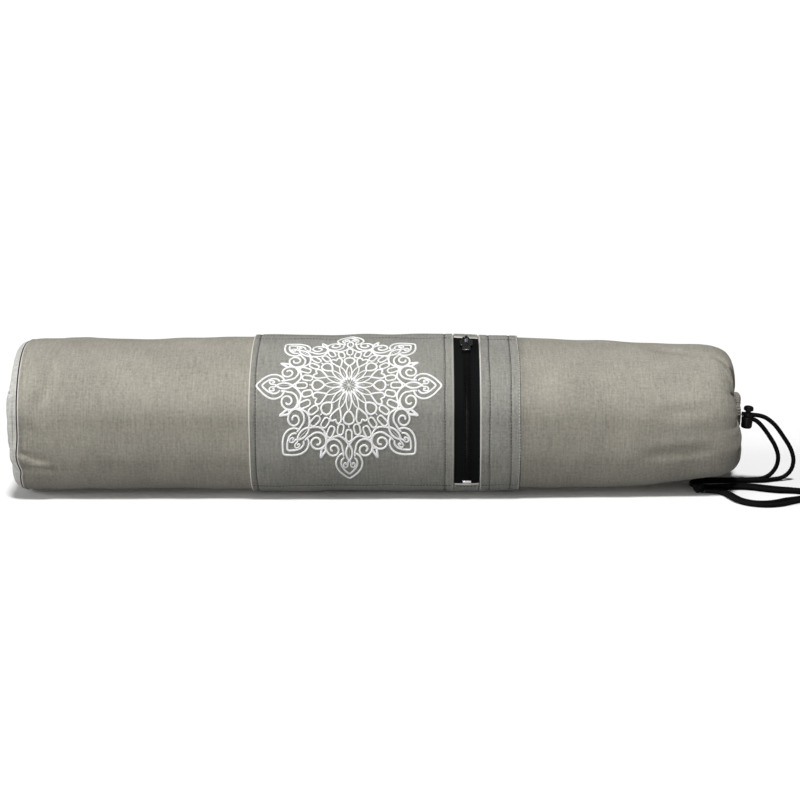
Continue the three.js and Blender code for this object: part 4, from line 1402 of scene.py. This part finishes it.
def roundedCopy(node, name, width, finish, body):
    # A copy of a hard piece with its edges rounded off
    settings = roundedSettings
    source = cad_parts[node]
    mesh = source.data.copy()
    piece = linked(name, mesh)
    mesh.materials.clear()
    only(piece)
    bpy.ops.object.mode_set(mode="EDIT")
    bpy.ops.mesh.select_all(action="SELECT")
    bpy.ops.mesh.remove_doubles(threshold=settings["merge"])
    bpy.ops.mesh.dissolve_limited(angle_limit=math.radians(settings["flat"]))
    bpy.ops.object.mode_set(mode="OBJECT")
    for name in ("sharp_face", "sharp_edge", "custom_normal"):
        if name in mesh.attributes:
            mesh.attributes.remove(mesh.attributes[name])
    applied(piece, "BEVEL", width=width, segments=settings["segments"], limit_method="ANGLE",
            angle_limit=math.radians(settings["sharp"]))
    smooth(piece, settings["smooth"])
    piece.data.materials.append(finish)
    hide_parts(node)
    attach(piece, body)


makeTapes(zipSettings)
makeCoil(zipSettings)
roundedCopy("zip_slider", "slider_body", 0.00035, gunmetal, "bag")
roundedCopy("zip_pull", "slider_pull", 0.0004, gunmetal, "pull")
roundedCopy("zip_bottom_stop", "end_stop", 0.0004, whiteMetal, "bag")
print("zip made")

# The cord lock: a barrel with a sprung button, leaning a little
lockSettings = {
    "place": (casingHigh.x + 0.0063, -0.014, bagShape["mouthHeight"] - 0.0037),
    "lean": 6,
    "height": 0.0225,
    "cordHeight": 0.0117,
    "slotWidth": 0.0046,
    "slotHeight": 0.0092,
    "stem": 0.0033,
    "play": 0.0003,
    "bore": (0.002, 0.017),
    "shaft": (0.0043, 0.0182),
    "cutWidth": 0.022,
    "cutFloor": 0.0033,
    "travel": 0.002,
    "sides": 48,
    "edge": 0.0002,
    "sharp": 50,
}
# Radius and height in mm of the two turned shapes
barrelProfile = [
    (3.3, 0), (4.3, 0.25), (5.0, 0.9), (5.4, 1.8), (5.5, 2.8), (5.5, 10.1), (5.25, 10.6),
    (4.5, 11.0), (4.35, 11.35), (4.6, 11.75), (4.85, 12.2), (4.85, 15.0), (4.7, 15.4), (4.35, 15.6),
]
capProfile = [
    (4.4, 17.9), (4.75, 18.05), (4.85, 18.4), (4.85, 20.4), (4.65, 21.2), (4.1, 21.95),
    (3.2, 22.4), (1.6, 22.5),
]


def turnedSolid(name, profile, sides):
    # A circle extruded upwards ring by ring
    bpy.ops.object.select_all(action="DESELECT")
    radius, height = profile[0]
    bpy.ops.mesh.primitive_circle_add(vertices=sides, radius=radius * mm, fill_type="NGON",
                                      location=(0, 0, height * mm))
    piece = bpy.context.active_object
    piece.name = name
    bpy.ops.object.transform_apply(location=True, rotation=True, scale=True)
    bpy.ops.object.mode_set(mode="EDIT")
    bpy.ops.mesh.select_all(action="SELECT")
    for (r0, z0), (r1, z1) in zip(profile[:-1], profile[1:]):
        bpy.ops.mesh.extrude_region_move(TRANSFORM_OT_translate={"value": (0, 0, (z1 - z0) * mm)})
        share = r1 / r0
        bpy.ops.transform.resize(value=(share, share, 1), center_override=(0, 0, z1 * mm))
    bpy.ops.mesh.select_all(action="SELECT")
    bpy.ops.mesh.normals_make_consistent(inside=False)
    bpy.ops.object.mode_set(mode="OBJECT")
    return piece


def cutWith(piece, tool, operation="DIFFERENCE"):
    applied(piece, "BOOLEAN", object=tool, operation=operation, solver="EXACT")
    bpy.data.objects.remove(tool)


def cutterBlock(width, depth, low, high):
    bpy.ops.object.select_all(action="DESELECT")
    bpy.ops.mesh.primitive_cube_add(size=1, location=(0, 0, (low + high) / 2))
    tool = bpy.context.active_object
    tool.scale = (width, depth, high - low)
    bpy.ops.object.transform_apply(location=True, rotation=True, scale=True)
    return tool


def standUp(piece, settings):
    place = Matrix.Translation(settings["place"]) @ Matrix.Rotation(math.radians(settings["lean"]), 4, "Y")
    piece.data.transform(place @ Matrix.Translation((0, 0, -settings["height"] / 2)))


def plainRod(name, radius, ends, sides):
    return turnedSolid(name, [(radius / mm, end / mm) for end in ends], sides)


def makeLock(settings):
    # The barrel is bored for the button's shaft, and a slot for the cords goes through both
    sides = settings["sides"]
    slotLow = settings["cordHeight"] - settings["slotHeight"] / 2
    slotHigh = settings["cordHeight"] + settings["slotHeight"] / 2
    barrel = turnedSolid("lock_body", barrelProfile, sides)
    cutWith(barrel, plainRod("bore", settings["stem"] + settings["play"], settings["bore"], sides))
    cutWith(barrel, cutterBlock(settings["cutWidth"], settings["slotWidth"], slotLow, slotHigh))
    button = turnedSolid("lock_cap", capProfile, sides)
    cutWith(button, plainRod("shaft", settings["stem"], settings["shaft"], sides), "UNION")
    slotHigh += settings["travel"]
    cutWith(button, cutterBlock(settings["cutWidth"], settings["slotWidth"], settings["cutFloor"], slotHigh))
    for piece, node, body in ((barrel, "lock_barrel", "bag"), (button, "lock_button", "button")):
        applied(piece, "BEVEL", width=settings["edge"], segments=2, limit_method="ANGLE",
                angle_limit=math.radians(settings["sharp"]))
        standUp(piece, settings)
        smooth(piece, 40)
        piece.data.materials.append(lockPlastic)
        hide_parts(node)
        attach(piece, body)
    print("cord lock made")
    return barrel, button


lockBarrel, lockButton = makeLock(lockSettings)

# The drawcord. Each strand's way through the air, then the pair's way over the floor, in mm:
# x beyond the casing, y, z, and for the floor x, y and how far apart the two strands lie.
outerFall = [
    (0.5, -14, 68.65), (6.3, -14, 68.05), (12.5, -14, 67.4), (18, -14, 66.7), (24.5, -14, 64.4),
    (33.2, -13.8, 57.4), (43, -13, 44.2), (50.6, -12.3, 31.4), (53.4, -11.2, 19.7), (51, -10.6, 10),
    (44, -12.2, 3.9), (34, -16, 2.1), (23, -20.5, 2.1),
]
innerFall = [
    (0.5, -14, 64.05), (6.3, -14, 63.45), (12.3, -14, 62.8), (16.5, -14, 60.4), (22, -14, 54.6),
    (28.5, -13.8, 45.6), (34.6, -13, 35.4), (38, -11.7, 24.8), (37, -9.6, 14.3), (31.5, -9.2, 6),
    (23, -12.2, 2.4),
]
floorRun = [
    (10, -18.9, 4.8), (-4, -19.3, 4.6), (-18, -19.1, 4.6), (-34.5, -20.1, 4.6), (-43.8, -24, 4.6),
    (-47.7, -33.3, 4.6), (-43.8, -42.6, 4.6), (-34.5, -46.5, 5.0), (-19, -45.5, 7.0), (-4, -44, 8.0),
    (9, -46, 9.0), (21, -52, 9.5), (33, -57, 9.0), (45, -59.7, 7.0), (55.6, -64.3, 6.0),
    (60.2, -75, 6.0), (56, -85.5, 6.0), (47.5, -92.1, 7.0), (36.5, -98.5, 9.5), (25, -106.5, 10.0),
    (12, -110, 9.0), (-1, -106.5, 7.0), (-10.5, -96.5, 5.5), (-15.5, -83.5, 5.0), (-20, -71, 4.8),
    (-28, -62, 4.6), (-38.5, -58.5, 4.6),
]
cordSettings = {
    "diameter": 0.0045,
    "floor": 0.00235,
    "step": 0.0009,
    "sides": 24,
    "braid": 0.00012,
    "strands": 6,
    "lay": 0.0104,
}


def strandRoute(fall, side):
    floor = cordSettings["floor"]
    route = [(casingHigh.x + x * mm, y * mm, max(z * mm, floor)) for x, y, z in fall]
    for i, (x, y, apart) in enumerate(floorRun):
        before = floorRun[max(i - 1, 0)]
        after = floorRun[min(i + 1, len(floorRun) - 1)]
        length = math.hypot(after[0] - before[0], after[1] - before[1])
        alongX, alongY = (after[0] - before[0]) / length, (after[1] - before[1]) / length
        shift = side * apart / 2
        route.append((casingHigh.x + (x - alongY * shift) * mm, (y + alongX * shift) * mm, floor))
    return route


def braidedTube(name, path, settings, closed=False):
    # A tube whose surface is pressed into crossing strands
    centre, across, up = tubeRings(path, closed)
    run = lengthsAlong(np.vstack([centre, centre[:1]]) if closed else centre)
    whole = run[-1]
    run = run[:len(centre)]
    angle = tau * np.arange(settings["sides"]) / settings["sides"]
    turns = settings["strands"] / 2
    lay = whole / max(round(whole / settings["lay"]), 1) if closed else settings["lay"]
    first = np.cos(turns * (angle[None, :] + tau * run[:, None] / lay))
    second = np.cos(turns * (angle[None, :] - tau * run[:, None] / lay))
    radius = settings["diameter"] / 2 - settings["braid"] * (1 - np.maximum(first, second))
    places = centre[:, None, :] + across[:, None, :] * (radius * np.cos(angle))[..., None]
    places = places + up[:, None, :] * (radius * np.sin(angle))[..., None]
    rows, columns = places.shape[:2]
    faces, uvs = [], []
    for i in range(rows if closed else rows - 1):
        row, after = i * columns, (i + 1) % rows * columns
        u0 = run[i]
        u1 = run[i + 1] if i + 1 < rows else whole
        for j in range(columns):
            onward = (j + 1) % columns
            faces.append([row + j, row + onward, after + onward, after + j])
            v0, v1 = j / columns, (j + 1) / columns
            uvs.extend([(u0, v0), (u0, v1), (u1, v1), (u1, v0)])
    if not closed:
        faces.append(list(range(columns))[::-1])
        faces.append([(rows - 1) * columns + j for j in range(columns)])
        uvs.extend([(0, 0)] * (2 * columns))
    piece = facedOut(meshFrom(name, places.reshape(-1, 3), faces, uvs))
    smooth(piece)
    piece.data.materials.append(cordBlack)
    return piece


def makeKnot():
    # An overhand knot: a trefoil of cord drawn tight
    low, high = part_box("cord_knot")
    middle, half = (low + high) / 2, (high - low) / 2
    radius = cordSettings["diameter"] / 2
    turn = np.linspace(0, tau, 150, endpoint=False)
    x = np.sin(turn) + 2 * np.sin(2 * turn)
    y = np.cos(turn) - 2 * np.cos(2 * turn)
    z = -np.sin(3 * turn)
    path = np.stack([middle.x + (half.x - radius) * x / 3, middle.y + (half.y - radius) * y / 3,
                     middle.z + (half.z - radius) * z], -1)
    knot = braidedTube("drawcord_knot", path, cordSettings, True)
    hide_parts("cord_knot")
    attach(knot, "bag")
    return knot


def makeCords():
    knot = makeKnot()
    strands = (("drawcord_1", "drawcord_outer", outerFall, 1),
               ("drawcord_2", "drawcord_inner", innerFall, -1))
    for name, node, fall, side in strands:
        path = splineThrough(strandRoute(fall, side), cordSettings["step"])
        cord = braidedTube(name, path, cordSettings)
        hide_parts(node)
        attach(cord, "bag")


makeCords()

# The studio: a white floor, a light overhead, one from the front and one from the left
studio = {
    "floor": 0.8,
    "floorSize": 400,
    "world": 0.1,
    "suns": [
        # name, direction that the light comes from, strength, how wide it looks in degrees
        ("overhead", (0.05, -0.25, 1.0), 3.25, 10),
        ("front", (-0.25, -1.0, 0.02), 2.12, 6),
        ("left", (-1.0, -0.25, 0.3), 2.2, 30),
    ],
}


def makeStudio(settings):
    bpy.ops.object.select_all(action="DESELECT")
    bpy.ops.mesh.primitive_plane_add(size=settings["floorSize"], location=(0, 0, 0))
    floor = bpy.context.active_object
    floor.name = "floor"
    floor.visible_diffuse = False
    white = Finish("floor_white", Roughness=0.9, Specular_IOR_Level=0.0)
    level = settings["floor"]
    white.shader.inputs["Base Color"].default_value = (level, level, level, 1)
    floor.data.materials.append(white.material)
    for name, way, strength, spread in settings["suns"]:
        data = bpy.data.lights.new(name, "SUN")
        data.energy = strength
        data.angle = math.radians(spread)
        light = bpy.data.objects.new(name, data)
        bpy.context.scene.collection.objects.link(light)
        light.matrix_world = (-Vector(way)).to_track_quat("-Z", "Y").to_matrix().to_4x4()
    world = bpy.context.scene.world or bpy.data.worlds.new("studio")
    bpy.context.scene.world = world
    world.use_nodes = True
    background = world.node_tree.nodes["Background"]
    background.inputs["Color"].default_value = (1, 1, 1, 1)
    background.inputs["Strength"].default_value = settings["world"]
    bpy.context.scene.view_settings.view_transform = "Standard"
    print("studio made")


makeStudio(studio)
